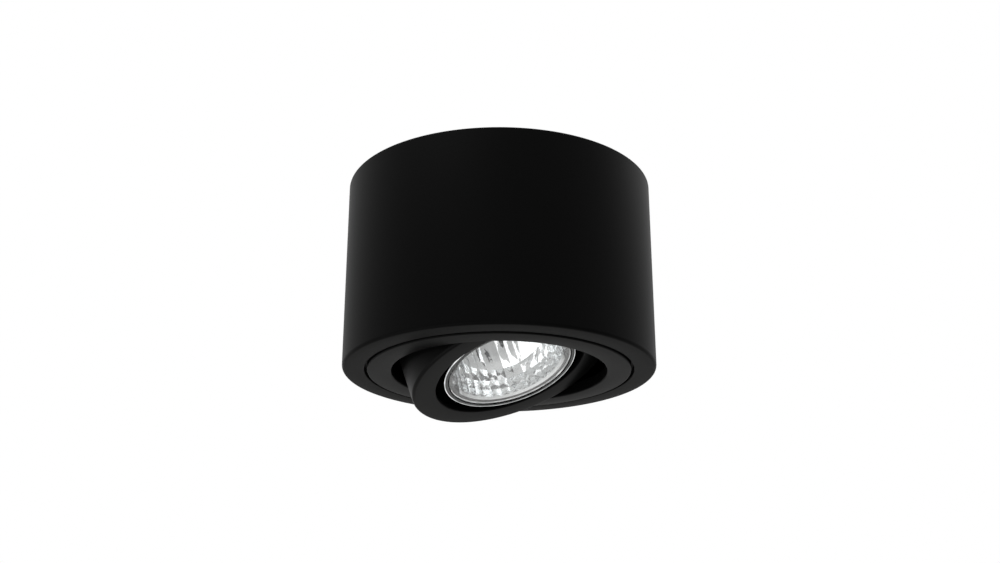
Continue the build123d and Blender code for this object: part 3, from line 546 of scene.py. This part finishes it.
def make_cup():
    """Die-cast cup with a wide flat face, hung on two pivots."""
    face_back = CUP_FACE_THICKNESS - CUP_FACE_DROP
    inner = CUP_RADIUS - CUP_WALL
    outline = rounded(
        [
            (CUP_BORE_RADIUS, -CUP_FACE_DROP, CUP_BORE_EDGE),
            (CUP_RADIUS, -CUP_FACE_DROP, CUP_EDGE),
            (CUP_RADIUS, CUP_TOP, FINE_EDGE),
            (inner, CUP_TOP, FINE_EDGE),
            (inner, face_back, CUP_WALL / 2),
            (CUP_BORE_RADIUS, face_back, FINE_EDGE),
        ]
    )
    cup = turned("tilt_cup_casting", outline, CUP_PLACE, CUP_BLACK)
    reach = CUP_RADIUS + CUT_MARGIN
    across = CUP_PLACE @ Matrix.Rotation(pi / 2, 4, "Y")
    outline = [(0, -reach), (CUP_PIVOT_HOLE, -reach), (CUP_PIVOT_HOLE, reach), (0, reach)]
    drill(cup, [turned("hole", outline, across, CUP_BLACK, PIVOT_HOLE_STEPS, closed=False)])
    seat(cup, "tilt", "cup_coat", "tilt_ring")


# ---------------------------------------------------------------- reflector lamp


def bulge(start, end):
    """Points of the arc of the bowl's wall, which bows outwards from start to end."""
    start, end = Vector(start), Vector(end)
    chord = end - start
    rise = BOWL_BULGE * chord.length
    reach = chord.length / 2
    radius = (reach**2 + rise**2) / (2 * rise)
    outward = Vector((chord.y, -chord.x)).normalized()
    centre = (start + end) / 2 + outward * (rise - radius)
    turn = (start - centre).angle_signed(end - centre)
    return [
        centre + Matrix.Rotation(-turn * step / BOWL_STEPS, 2) @ (start - centre)
        for step in range(BOWL_STEPS + 1)
    ]


def make_lamp_bowl():
    """Pressed glass bowl of the lamp, with its clear rim and seat for the cover glass."""
    seat_height = LAMP_SEAT_HEIGHT + SEAT_CLEARANCE
    outline = rounded(
        [
            (LAMP_OPENING_RADIUS, seat_height, LAMP_SEAT_EDGE),
            (LAMP_SEAT_RADIUS, seat_height, LAMP_SEAT_EDGE),
            (LAMP_SEAT_RADIUS, 0, LAMP_SEAT_MOUTH_EDGE),
            (LAMP_RADIUS, 0, LAMP_RIM_EDGE),
            (LAMP_RADIUS, LAMP_RIM_HEIGHT),
        ],
        closed=False,
    )
    wall = bulge((LAMP_RADIUS, LAMP_RIM_HEIGHT), (LAMP_NECK_RADIUS, LAMP_NECK_START))
    outline += wall[1:]
    outline += [
        Vector((LAMP_NECK_RADIUS, LAMP_NECK_END)),
        Vector((LAMP_HOLE_RADIUS, LAMP_NECK_END)),
    ]
    inner = bulge((LAMP_OPENING_RADIUS, seat_height), (LAMP_HOLE_RADIUS, LAMP_HOLE_HEIGHT))
    outline += inner[:0:-1]
    # the bowl's glass is tinted dark grey: painted shade
    bowl = turned("lamp_glass_bowl", outline, LAMP_PLACE, BOWL_GLASS_PAINTED_DARK)
    seat(bowl, "lamp", "clear_glass", "lamp_reflector")


def make_lamp_edges():
    """The bright lines of the rim, painted as glowing near-white beads: at its ground outer corner and at the
    joint behind the cover glass.
    """
    corner = LAMP_RADIUS - RIM_BEAD_RADIUS, RIM_BEAD_RADIUS + RIM_BEAD_RECESS, RIM_BEAD_RADIUS
    joint = COVER_RADIUS - RIM_BEAD_RADIUS, LAMP_SEAT_HEIGHT - RIM_BEAD_RADIUS, JOINT_BEAD_RADIUS
    for name, (radius, height, size) in {"rim_corner_painted_highlight": corner, "cover_joint_painted_highlight": joint}.items():
        outline = [
            (radius + size * cos(a), height + size * sin(a))
            for a in (2 * pi * step / BEAD_STEPS for step in range(BEAD_STEPS))
        ]
        # each bead glows with a painted highlight
        bead = turned(f"lamp_{name}", outline, LAMP_PLACE, PAINTED_EDGE_HIGHLIGHT)
        seat(bead, "lamp", "clear_glass", "lamp_reflector")


def make_silver_band():
    """The plain silver band that slopes in from the cover glass to the first row of facets."""
    outline = [
        (LAMP_OPENING_RADIUS, LAMP_SEAT_HEIGHT + SILVER_THICKNESS),
        (SILVER_BAND_RADIUS, SILVER_BAND_HEIGHT),
        (SILVER_BAND_RADIUS, SILVER_BAND_HEIGHT + SILVER_THICKNESS),
        (LAMP_OPENING_RADIUS, LAMP_SEAT_HEIGHT + 2 * SILVER_THICKNESS),
    ]
    band = turned("lamp_silver_band", outline, LAMP_PLACE, SILVER)
    seat(band, "lamp", "reflector_silver", "lamp_reflector")


def make_cover_glass():
    """Flat front glass of the lamp, cemented in the bowl's seat."""
    back = COVER_RECESS + COVER_THICKNESS
    outline = rounded(
        [
            (0, COVER_RECESS),
            (COVER_RADIUS, COVER_RECESS, COVER_EDGE),
            (COVER_RADIUS, back, COVER_BACK_EDGE),
            (0, back),
        ],
        closed=False,
    )
    glass = turned("lamp_front_glass", outline, LAMP_PLACE, CLEAR_GLASS, closed=False)
    seat(glass, "lamp", "clear_glass", "lamp_cover_glass")


# ---------------------------------------------------------------- capsule


def round_end(radius, tip, degrees):
    """Points of a round end whose tip is at a height, at these angles from the axis."""
    turns = [radians(angle) for angle in degrees]
    return [(radius * sin(a), tip + radius * (1 - cos(a))) for a in turns]


def make_capsule():
    """Fused quartz bulb with a drawn tip in front and a stem in the lamp's base."""
    nib = [(radius, CAPSULE_TIP + height) for radius, height in CAPSULE_NIB]
    stem = [
        (CAPSULE_RADIUS, CAPSULE_BULB_END - CAPSULE_SHOULDER),
        (CAPSULE_STEM_RADIUS, CAPSULE_BULB_END),
        (CAPSULE_STEM_RADIUS, CAPSULE_STEM_END),
        (0, CAPSULE_STEM_END),
    ]
    outline = nib + round_end(CAPSULE_RADIUS, CAPSULE_TIP, CAPSULE_DOME_DEGREES) + stem
    bulb = turned("capsule_quartz_bulb", outline, LAMP_PLACE, QUARTZ, CAPSULE_STEPS, closed=False)
    radius = CAPSULE_RADIUS - CAPSULE_WALL
    inside = round_end(radius, CAPSULE_TIP + CAPSULE_WALL, CAPSULE_HOLLOW_DEGREES)
    inside += [
        (radius, CAPSULE_BULB_END - CAPSULE_HOLLOW_SHOULDER),
        (0, CAPSULE_BULB_END - CAPSULE_HOLLOW_END),
    ]
    drill(bulb, [turned("hollow", inside, LAMP_PLACE, QUARTZ, CAPSULE_STEPS, closed=False)])
    seat(bulb, "lamp", "capsule_glass", "lamp_capsule")


# ---------------------------------------------------------------- geometry trees


def new_tree(name, **inputs):
    """A geometry tree and its named inputs."""
    tree = bpy.data.node_groups.new(name, "GeometryNodeTree")
    kinds = {float: "NodeSocketFloat", int: "NodeSocketInt", tuple: "NodeSocketVector"}
    tree.interface.new_socket("Geometry", in_out="INPUT", socket_type="NodeSocketGeometry")
    for label, value in inputs.items():
        socket = tree.interface.new_socket(
            label.replace("_", " "), in_out="INPUT", socket_type=kinds[type(value)]
        )
        socket.default_value = value
    tree.interface.new_socket("Geometry", in_out="OUTPUT", socket_type="NodeSocketGeometry")
    return tree, add(tree, "NodeGroupInput").outputs


def end_tree(tree, geometry, material):
    """Ends a tree in Realize Instances and Set Material."""
    real = add(tree, "GeometryNodeRealizeInstances", {"Geometry": geometry})
    painted = add(tree, "GeometryNodeSetMaterial", {"Geometry": real, "Material": material})
    add(tree, "NodeGroupOutput", {0: painted})


def grow(tree, place, **inputs):
    """A plain mesh, put on its place, from a geometry tree whose inputs are set by name."""
    carrier = bpy.data.objects.new("carrier", bpy.data.meshes.new("carrier"))
    bpy.context.scene.collection.objects.link(carrier)
    modifier = carrier.modifiers.new("grow", "NODES")
    modifier.node_group = tree
    sockets = {s.name: s.identifier for s in tree.interface.items_tree if s.in_out == "INPUT"}
    for label, value in inputs.items():
        modifier[sockets[label.replace("_", " ")]] = value
    graph = bpy.context.evaluated_depsgraph_get()
    mesh = bpy.data.meshes.new_from_object(carrier.evaluated_get(graph))
    carrier.modifiers.clear()
    bpy.data.objects.remove(carrier)
    mesh.transform(place @ Matrix.Scale(MM, 4))
    return mesh


def gather(name, meshes, crease=CREASE_ANGLE):
    """One piece from meshes that share a material."""
    bm = bmesh.new()
    for mesh in meshes:
        bm.from_mesh(mesh)
    whole = meshes[0]
    bm.to_mesh(whole)
    bm.free()
    whole.name = name
    whole.shade_smooth()
    whole.set_sharp_from_angle(angle=crease)
    piece = bpy.data.objects.new(name, whole)
    bpy.context.scene.collection.objects.link(piece)
    return piece


def facet_tree():
    """The silver wall of the bowl: rows and columns of low domes, from the rim to the hole."""
    rim = Vector((SILVER_BAND_RADIUS, 0, SILVER_BAND_HEIGHT))
    chord = Vector((LAMP_HOLE_RADIUS, 0, LAMP_HOLE_HEIGHT)) - rim
    bow = Vector((chord.z, 0, -chord.x)) * 2 * SILVER_BULGE
    tree, get = new_tree(
        "silver_facets",
        Columns=36,
        Rows=8,
        Rim=tuple(rim),
        Middle=tuple(rim + chord / 2 + bow),
        Hole=tuple(rim + chord),
        Dome=0.15,
        Unevenness=0.08,
        Seed=4,
    )
    columns = add(tree, "ShaderNodeMath", {0: get["Columns"], 1: 1}, operation="ADD")
    rows = add(tree, "ShaderNodeMath", {0: get["Rows"], 1: 1}, operation="ADD")
    sides = {"Size X": 1.0, "Size Y": 1.0}
    grid = add(tree, "GeometryNodeMeshGrid", {**sides, "Vertices X": columns, "Vertices Y": rows})
    shares = add(tree, "ShaderNodeSeparateXYZ", {0: grid.outputs["UV Map"]})
    # each column is turned round the axis, and each row is a point on the wall's curve
    ends = {"Start": get["Rim"], "Middle": get["Middle"], "End": get["Hole"]}
    curve = add(tree, "GeometryNodeCurveQuadraticBezier", {"Resolution": 32, **ends})
    along = add(tree, "GeometryNodeSampleCurve", {"Curves": curve, "Factor": shares.outputs[1]})
    turn = add(tree, "ShaderNodeMath", {0: shares.outputs[0], 1: -2 * pi}, operation="MULTIPLY")
    spot = add(
        tree,
        "ShaderNodeVectorRotate",
        {"Vector": along.outputs["Position"], "Angle": turn},
        rotation_type="Z_AXIS",
    )
    wall = add(tree, "GeometryNodeSetPosition", {"Geometry": grid, "Position": spot})
    merge = {"Geometry": wall, "Distance": SAME_FACET_POINT}
    closed = add(tree, "GeometryNodeMergeByDistance", merge)
    least = add(tree, "ShaderNodeMath", {0: get["Unevenness"], 1: -1}, operation="MULTIPLY")
    chance = add(
        tree,
        "FunctionNodeRandomValue",
        {"Min": least, "Max": get["Unevenness"], "Seed": get["Seed"]},
        data_type="FLOAT_VECTOR",
    )
    uneven = add(tree, "GeometryNodeSetPosition", {"Geometry": closed, "Offset": chance})
    fine = add(tree, "GeometryNodeSubdivideMesh", {"Mesh": uneven, "Level": 2})
    # half a sine wave across and along each facet is its dome
    counts = add(tree, "ShaderNodeCombineXYZ", {0: get["Columns"], 1: get["Rows"]})
    places = {0: grid.outputs["UV Map"], 1: counts}
    count = add(tree, "ShaderNodeVectorMath", places, operation="MULTIPLY")
    phase = add(tree, "ShaderNodeVectorMath", {0: count, "Scale": pi}, operation="SCALE")
    wave = add(tree, "ShaderNodeVectorMath", {0: phase}, operation="SINE")
    halves = add(tree, "ShaderNodeSeparateXYZ", {0: wave})
    swell = {0: halves.outputs[0], 1: halves.outputs[1]}
    both = add(tree, "ShaderNodeMath", swell, operation="MULTIPLY")
    dome = add(tree, "ShaderNodeMath", {0: both}, operation="ABSOLUTE")
    rise = add(tree, "ShaderNodeMath", {0: dome, 1: get["Dome"]}, operation="MULTIPLY")
    out = add(tree, "GeometryNodeInputNormal")
    push = add(tree, "ShaderNodeVectorMath", {0: out, "Scale": rise}, operation="SCALE")
    domed = add(tree, "GeometryNodeSetPosition", {"Geometry": fine, "Offset": push})
    end_tree(tree, domed, SILVER)
    return tree


def make_reflector():
    """The silvered facets on the inside of the bowl."""
    wall = gather("lamp_silver_facets", [grow(facet_tree(), LAMP_PLACE)], FACET_CREASE)
    seat(wall, "lamp", "reflector_silver", "lamp_reflector")


def coil_tree():
    """A wire coil along z."""
    tree, get = new_tree("wire_coil", Turns=12.0, Radius=0.4, Length=7.0, Wire_radius=0.1)
    spiral = add(
        tree,
        "GeometryNodeCurveSpiral",
        {
            "Resolution": 16,
            "Rotations": get["Turns"],
            "Start Radius": get["Radius"],
            "End Radius": get["Radius"],
            "Height": get["Length"],
        },
    )
    wire_size = {"Resolution": 8, "Radius": get["Wire radius"]}
    section = add(tree, "GeometryNodeCurvePrimitiveCircle", wire_size)
    path = {"Curve": spiral, "Profile Curve": section, "Fill Caps": True}
    # the coil's finish carries a painted amber glow
    end_tree(tree, add(tree, "GeometryNodeCurveToMesh", path), GLOWING_TUNGSTEN)
    return tree


def make_filament():
    """Coiled tungsten wire on the lamp's axis."""
    at = LAMP_PLACE @ Matrix.Translation((0, 0, FILAMENT_START * MM))
    coil = grow(
        coil_tree(),
        at,
        Turns=FILAMENT_TURNS,
        Radius=FILAMENT_RADIUS - FILAMENT_WIRE,
        Length=FILAMENT_END - FILAMENT_START,
        Wire_radius=FILAMENT_WIRE,
    )
    seat(gather("filament_coil", [coil]), "lamp", "tungsten", "lamp_filament")


# ---------------------------------------------------------------- screws


def screw_tree(name, countersunk, material):
    """A threaded screw whose head, domed and slotted or countersunk, starts at z = 0."""
    tree, get = new_tree(
        name,
        Head_radius=2.75,
        Head_height=1.5,
        Shank_radius=1.5,
        Shank_length=7.0,
        Core_radius=1.3,
        Thread_turns=12.0,
        Drive_width=0.75,
    )
    radius, height = get["Head radius"], get["Head height"]
    top = add(tree, "ShaderNodeCombineXYZ", {2: height})
    if countersunk:
        cone = {"Vertices": SCREW_STEPS, "Radius Top": radius, "Radius Bottom": get["Shank radius"]}
        head = add(tree, "GeometryNodeMeshCone", {**cone, "Depth": height})
        # a six-sided socket in the head's flat top
        socket = {"Vertices": 6, "Radius": get["Drive width"], "Depth": height}
        socket = add(tree, "GeometryNodeMeshCylinder", socket)
        cutters = [add(tree, "GeometryNodeTransform", {"Geometry": socket, "Translation": top})]
    else:
        ball = add(tree, "GeometryNodeMeshUVSphere", {"Segments": SCREW_STEPS, "Rings": 24})
        girth = add(tree, "ShaderNodeCombineXYZ", {0: radius, 1: radius, 2: height})
        head = add(tree, "GeometryNodeTransform", {"Geometry": ball, "Scale": girth})
        # a straight slot, and a block that takes the ball's lower half away
        length = add(tree, "ShaderNodeMath", {0: radius, 1: 3.0}, operation="MULTIPLY")
        slot = add(tree, "ShaderNodeCombineXYZ", {0: length, 1: get["Drive width"], 2: height})
        slot = add(tree, "GeometryNodeMeshCube", {"Size": slot})
        slot = add(tree, "GeometryNodeTransform", {"Geometry": slot, "Translation": top})
        block = add(tree, "ShaderNodeCombineXYZ", {0: length, 1: length, 2: length})
        under = {0: (0, 0, -0.5), "Scale": length}
        under = add(tree, "ShaderNodeVectorMath", under, operation="SCALE")
        block = add(tree, "GeometryNodeMeshCube", {"Size": block})
        block = add(tree, "GeometryNodeTransform", {"Geometry": block, "Translation": under})
        cutters = [block, slot]
    cut = add(tree, "GeometryNodeMeshBoolean", {"Mesh 1": head}, operation="DIFFERENCE", solver="EXACT")
    for cutter in cutters:
        tree.links.new(cutter.outputs[0], cut.inputs["Mesh 2"])
    # the shank's core, and a three-sided ridge that winds round it and stops short of its ends
    core_size = {"Vertices": SCREW_STEPS, "Radius": get["Core radius"], "Depth": get["Shank length"]}
    core = add(tree, "GeometryNodeMeshCylinder", core_size)
    down = {0: (0, 0, -0.5), "Scale": get["Shank length"]}
    down = add(tree, "ShaderNodeVectorMath", down, operation="SCALE")
    core = add(tree, "GeometryNodeTransform", {"Geometry": core, "Translation": down})
    rest = {0: get["Shank length"], 1: 2 * THREAD_DEPTH}
    rest = add(tree, "ShaderNodeMath", rest, operation="SUBTRACT")
    winding = {"Resolution": 16, "Rotations": get["Thread turns"], "Height": rest}
    ends = {"Start Radius": get["Core radius"], "End Radius": get["Core radius"]}
    spiral = add(tree, "GeometryNodeCurveSpiral", {**winding, **ends})
    ridge = add(tree, "GeometryNodeCurvePrimitiveCircle", {"Resolution": 3, "Radius": THREAD_DEPTH})
    path = {"Curve": spiral, "Profile Curve": ridge, "Fill Caps": True}
    thread = add(tree, "GeometryNodeCurveToMesh", path)
    down = {0: THREAD_DEPTH, 1: get["Shank length"]}
    down = add(tree, "ShaderNodeMath", down, operation="SUBTRACT")
    down = add(tree, "ShaderNodeCombineXYZ", {2: down})
    thread = add(tree, "GeometryNodeTransform", {"Geometry": thread, "Translation": down})
    joined = add(tree, "GeometryNodeJoinGeometry")
    for piece in (thread, core, cut):
        tree.links.new(piece.outputs[0], joined.inputs[0])
    end_tree(tree, joined, material)
    return tree


def screw_sizes(node, line, head_height):
    """The place and sizes of each screw in a CAD node whose screws lie along a line."""
    bm = bmesh.new()
    bm.from_mesh(frame["nodes"][node].data)
    bmesh.ops.remove_doubles(bm, verts=bm.verts, dist=SAME_CAD_POINT * MM)
    left = set(bm.verts)
    found = []
    while left:
        reached, edge = set(), {left.pop()}
        while edge:
            reached |= edge
            edge = {e.other_vert(v) for v in edge for e in v.link_edges} - reached
        left -= reached
        corners = [v.co.copy() for v in reached]
        centre = sum(corners, Vector()) / len(corners)
        heights = [(c - centre).dot(line) for c in corners]
        low, high = min(heights), max(heights)
        radii = {"high": 0, "low": 0}
        for corner, height in zip(corners, heights):
            end = "high" if height > (low + high) / 2 else "low"
            radii[end] = max(radii[end], ((corner - centre) - line * height).length)
        head_high = radii["high"] > radii["low"]
        out = line if head_high else -line
        top = centre + line * (high if head_high else low)
        head, shank = max(radii.values()) / MM, min(radii.values()) / MM
        found.append((top, out, head, shank, (high - low) / MM))
    bm.free()
    return [
        (place_on(top - out * head_height * MM, out.orthogonal().normalized(), out), head, shank, long)
        for top, out, head, shank, long in found
    ]


def make_screws():
    """Every screw of the light, with its slot or socket and its thread."""
    up, side = Vector((0, 0, 1)), Vector((1, 0, 0))
    bright = screw_tree("slotted_screw", False, BRIGHT_ZINC)
    black = screw_tree("black_slotted_screw", False, BLACK_OXIDE)
    sunk = screw_tree("countersunk_screw", True, BLACK_OXIDE)
    screws = {
        "side_screws": (sunk, side, COUNTERSINK_DEPTH, "black_steel"),
        "terminal_screws": (bright, up, SCREW_HEAD_HEIGHT, "screw_steel"),
        "block_screws": (bright, up, SCREW_HEAD_HEIGHT, "screw_steel"),
        "earth_screw": (bright, up, SCREW_HEAD_HEIGHT, "screw_steel"),
        "ring_clip_screws": (bright, up, SCREW_HEAD_HEIGHT, "screw_steel"),
        "ear_screws": (black, up, SCREW_HEAD_HEIGHT, "black_steel"),
        "pivot_screws": (black, tilt_axis, PIVOT_HEAD_HEIGHT, "black_steel"),
        "holder_screws": (bright, lamp_back, SCREW_HEAD_HEIGHT, "screw_steel"),
    }
    for node, (tree, line, head_height, slot) in screws.items():
        meshes = []
        for place, head, shank, long in screw_sizes(node, line, head_height):
            run = long - head_height
            meshes.append(
                grow(
                    tree,
                    place,
                    Head_radius=head,
                    Head_height=head_height,
                    Shank_radius=shank,
                    Shank_length=run,
                    Core_radius=shank - THREAD_DEPTH,
                    Thread_turns=run / (shank / THREADS_PER_RADIUS),
                    Drive_width=shank * DRIVE_SHARE,
                )
            )
        seat(gather(f"threaded_{node}", meshes), body_of[node], slot, node)


# ---------------------------------------------------------------- nodes that keep their shape

KEPT_NODES = {
    "mounting_plate": ZINC,
    "cable_bush": RUBBER,
    "terminal_block": POLYAMIDE,
    "terminal_clamps": BRASS,
    "earth_tag": TINNED,
    "earth_lead": EARTH_SLEEVE,
    "ring_clips": SPRING_STEEL,
    "live_lead": LIVE_SLEEVE,
    "neutral_lead": NEUTRAL_SLEEVE,
    "pivot_ears": BLACK_OXIDE,
    "friction_washers": WASHER,
    "lamp_strap": BLACK_OXIDE,
    "spring_washers": SPRING_STEEL,
    "pivot_nuts": BLACK_OXIDE,
    "holder_body": STEATITE,
    "holder_contacts": BRASS,
    "capsule_wires": TINNED,
    "lamp_base": STEATITE,
    "lamp_pins": TINNED,
}


def dress_nodes():
    """Gives each CAD node that is shown as it is its finish."""
    for name, material in KEPT_NODES.items():
        node = frame["nodes"][name]
        node.data.materials.clear()
        node.data.materials.append(material)


# ---------------------------------------------------------------- studio

CAMERA_PLACE = (0.0003, -0.4463, -0.2012)
CAMERA_PITCH = 20.36
CAMERA_LENS = 45.4
FLOOR_DROP = 0.6
FLOOR_SIZE = 8.0
FLOOR_GLOW_TO_EYE = 0.45
FLOOR_GLOW_IN_GLOSS = 0.05
SOFT_LIGHT = 0.4
# name, place and size in metres, and power in watts; the low ones are the lit room below that
# the silver mirrors
SOFTBOXES = (
    ("near_softbox", (-0.6, -0.6, 1.3), (0.8, 0.8), 9),
    ("far_softbox", (0.7, 0.8, 1.1), (0.8, 0.8), 4),
    ("left_floor_softbox", (-0.42, -0.2, -0.5), (0.6, 0.6), 1.4),
    ("front_floor_softbox", (-0.05, -0.57, -0.5), (0.5, 0.35), 0.7),
    ("back_floor_softbox", (0.1, 0.45, -0.5), (0.3, 0.3), 0.12),
)


def seen_as(tree, to_eye, in_gloss, to_rest):
    """A strength that depends on who looks: the eye, a mirror or glass, or a matt surface."""
    path = add(tree, "ShaderNodeLightPath").outputs
    gloss = {0: path["Is Glossy Ray"], 1: path["Is Transmission Ray"]}
    gloss = add(tree, "ShaderNodeMath", gloss, operation="MAXIMUM")
    gloss = {0: gloss, 1: in_gloss - to_rest, 2: to_rest}
    gloss = add(tree, "ShaderNodeMath", gloss, operation="MULTIPLY_ADD")
    eye = {0: path["Is Camera Ray"], 1: to_eye - to_rest, 2: gloss}
    return add(tree, "ShaderNodeMath", eye, operation="MULTIPLY_ADD")


def make_world():
    """White to the eye, to gloss and through glass, and a soft grey light to matt surfaces."""
    world = bpy.data.worlds.new("studio")
    bpy.context.scene.world = world
    world.use_nodes = True
    tree = world.node_tree
    tree.nodes.clear()
    strength = seen_as(tree, 1, 1, SOFT_LIGHT)
    back = add(tree, "ShaderNodeBackground", {"Color": (1, 1, 1, 1), "Strength": strength})
    add(tree, "ShaderNodeOutputWorld", {"Surface": back})


def make_floor():
    """Plain matt floor below the light: it glows pale to the eye, and mirrors hardly show it."""
    material, tree, _ = new_material("pale_floor")
    glow = seen_as(tree, FLOOR_GLOW_TO_EYE, FLOOR_GLOW_IN_GLOSS, 0)
    matt = {"Base Color": linear("#f4f4f2"), "Roughness": 0.9, "Specular IOR Level": 0.1}
    shade(tree, {**matt, "Emission Color": (1, 1, 1, 1), "Emission Strength": glow})
    bm = bmesh.new()
    bmesh.ops.create_grid(bm, x_segments=1, y_segments=1, size=FLOOR_SIZE / 2 / MM)
    floor = finish_mesh(bm, "floor", Matrix.Translation((0, 0, -FLOOR_DROP)), material)


def make_softbox(name, place, size, power):
    """A soft lamp that points at the object and isn't seen itself by the camera."""
    light = bpy.data.lights.new(name, "AREA")
    light.shape = "RECTANGLE"
    light.size, light.size_y = size
    light.energy = power
    lamp = bpy.data.objects.new(name, light)
    lamp.location = place
    lamp.rotation_euler = (-Vector(place)).to_track_quat("-Z", "Y").to_euler()
    lamp.visible_camera = False
    bpy.context.scene.collection.objects.link(lamp)


def make_camera():
    """The photograph's view: from below, looking up at the light."""
    camera = bpy.data.objects.new("camera", bpy.data.cameras.new("camera"))
    camera.data.lens = CAMERA_LENS
    camera.location = CAMERA_PLACE
    camera.rotation_euler = (radians(90 + CAMERA_PITCH), 0, 0)
    bpy.context.scene.collection.objects.link(camera)
    bpy.context.scene.camera = camera


make_housing()
make_swivel_ring()
make_cup()
make_lamp_bowl()
make_lamp_edges()
make_silver_band()
make_cover_glass()
make_reflector()
make_capsule()
make_filament()
make_screws()
dress_nodes()
make_world()
make_floor()
for softbox in SOFTBOXES:
    make_softbox(*softbox)
make_camera()
bpy.context.scene.view_settings.view_transform = "Standard"
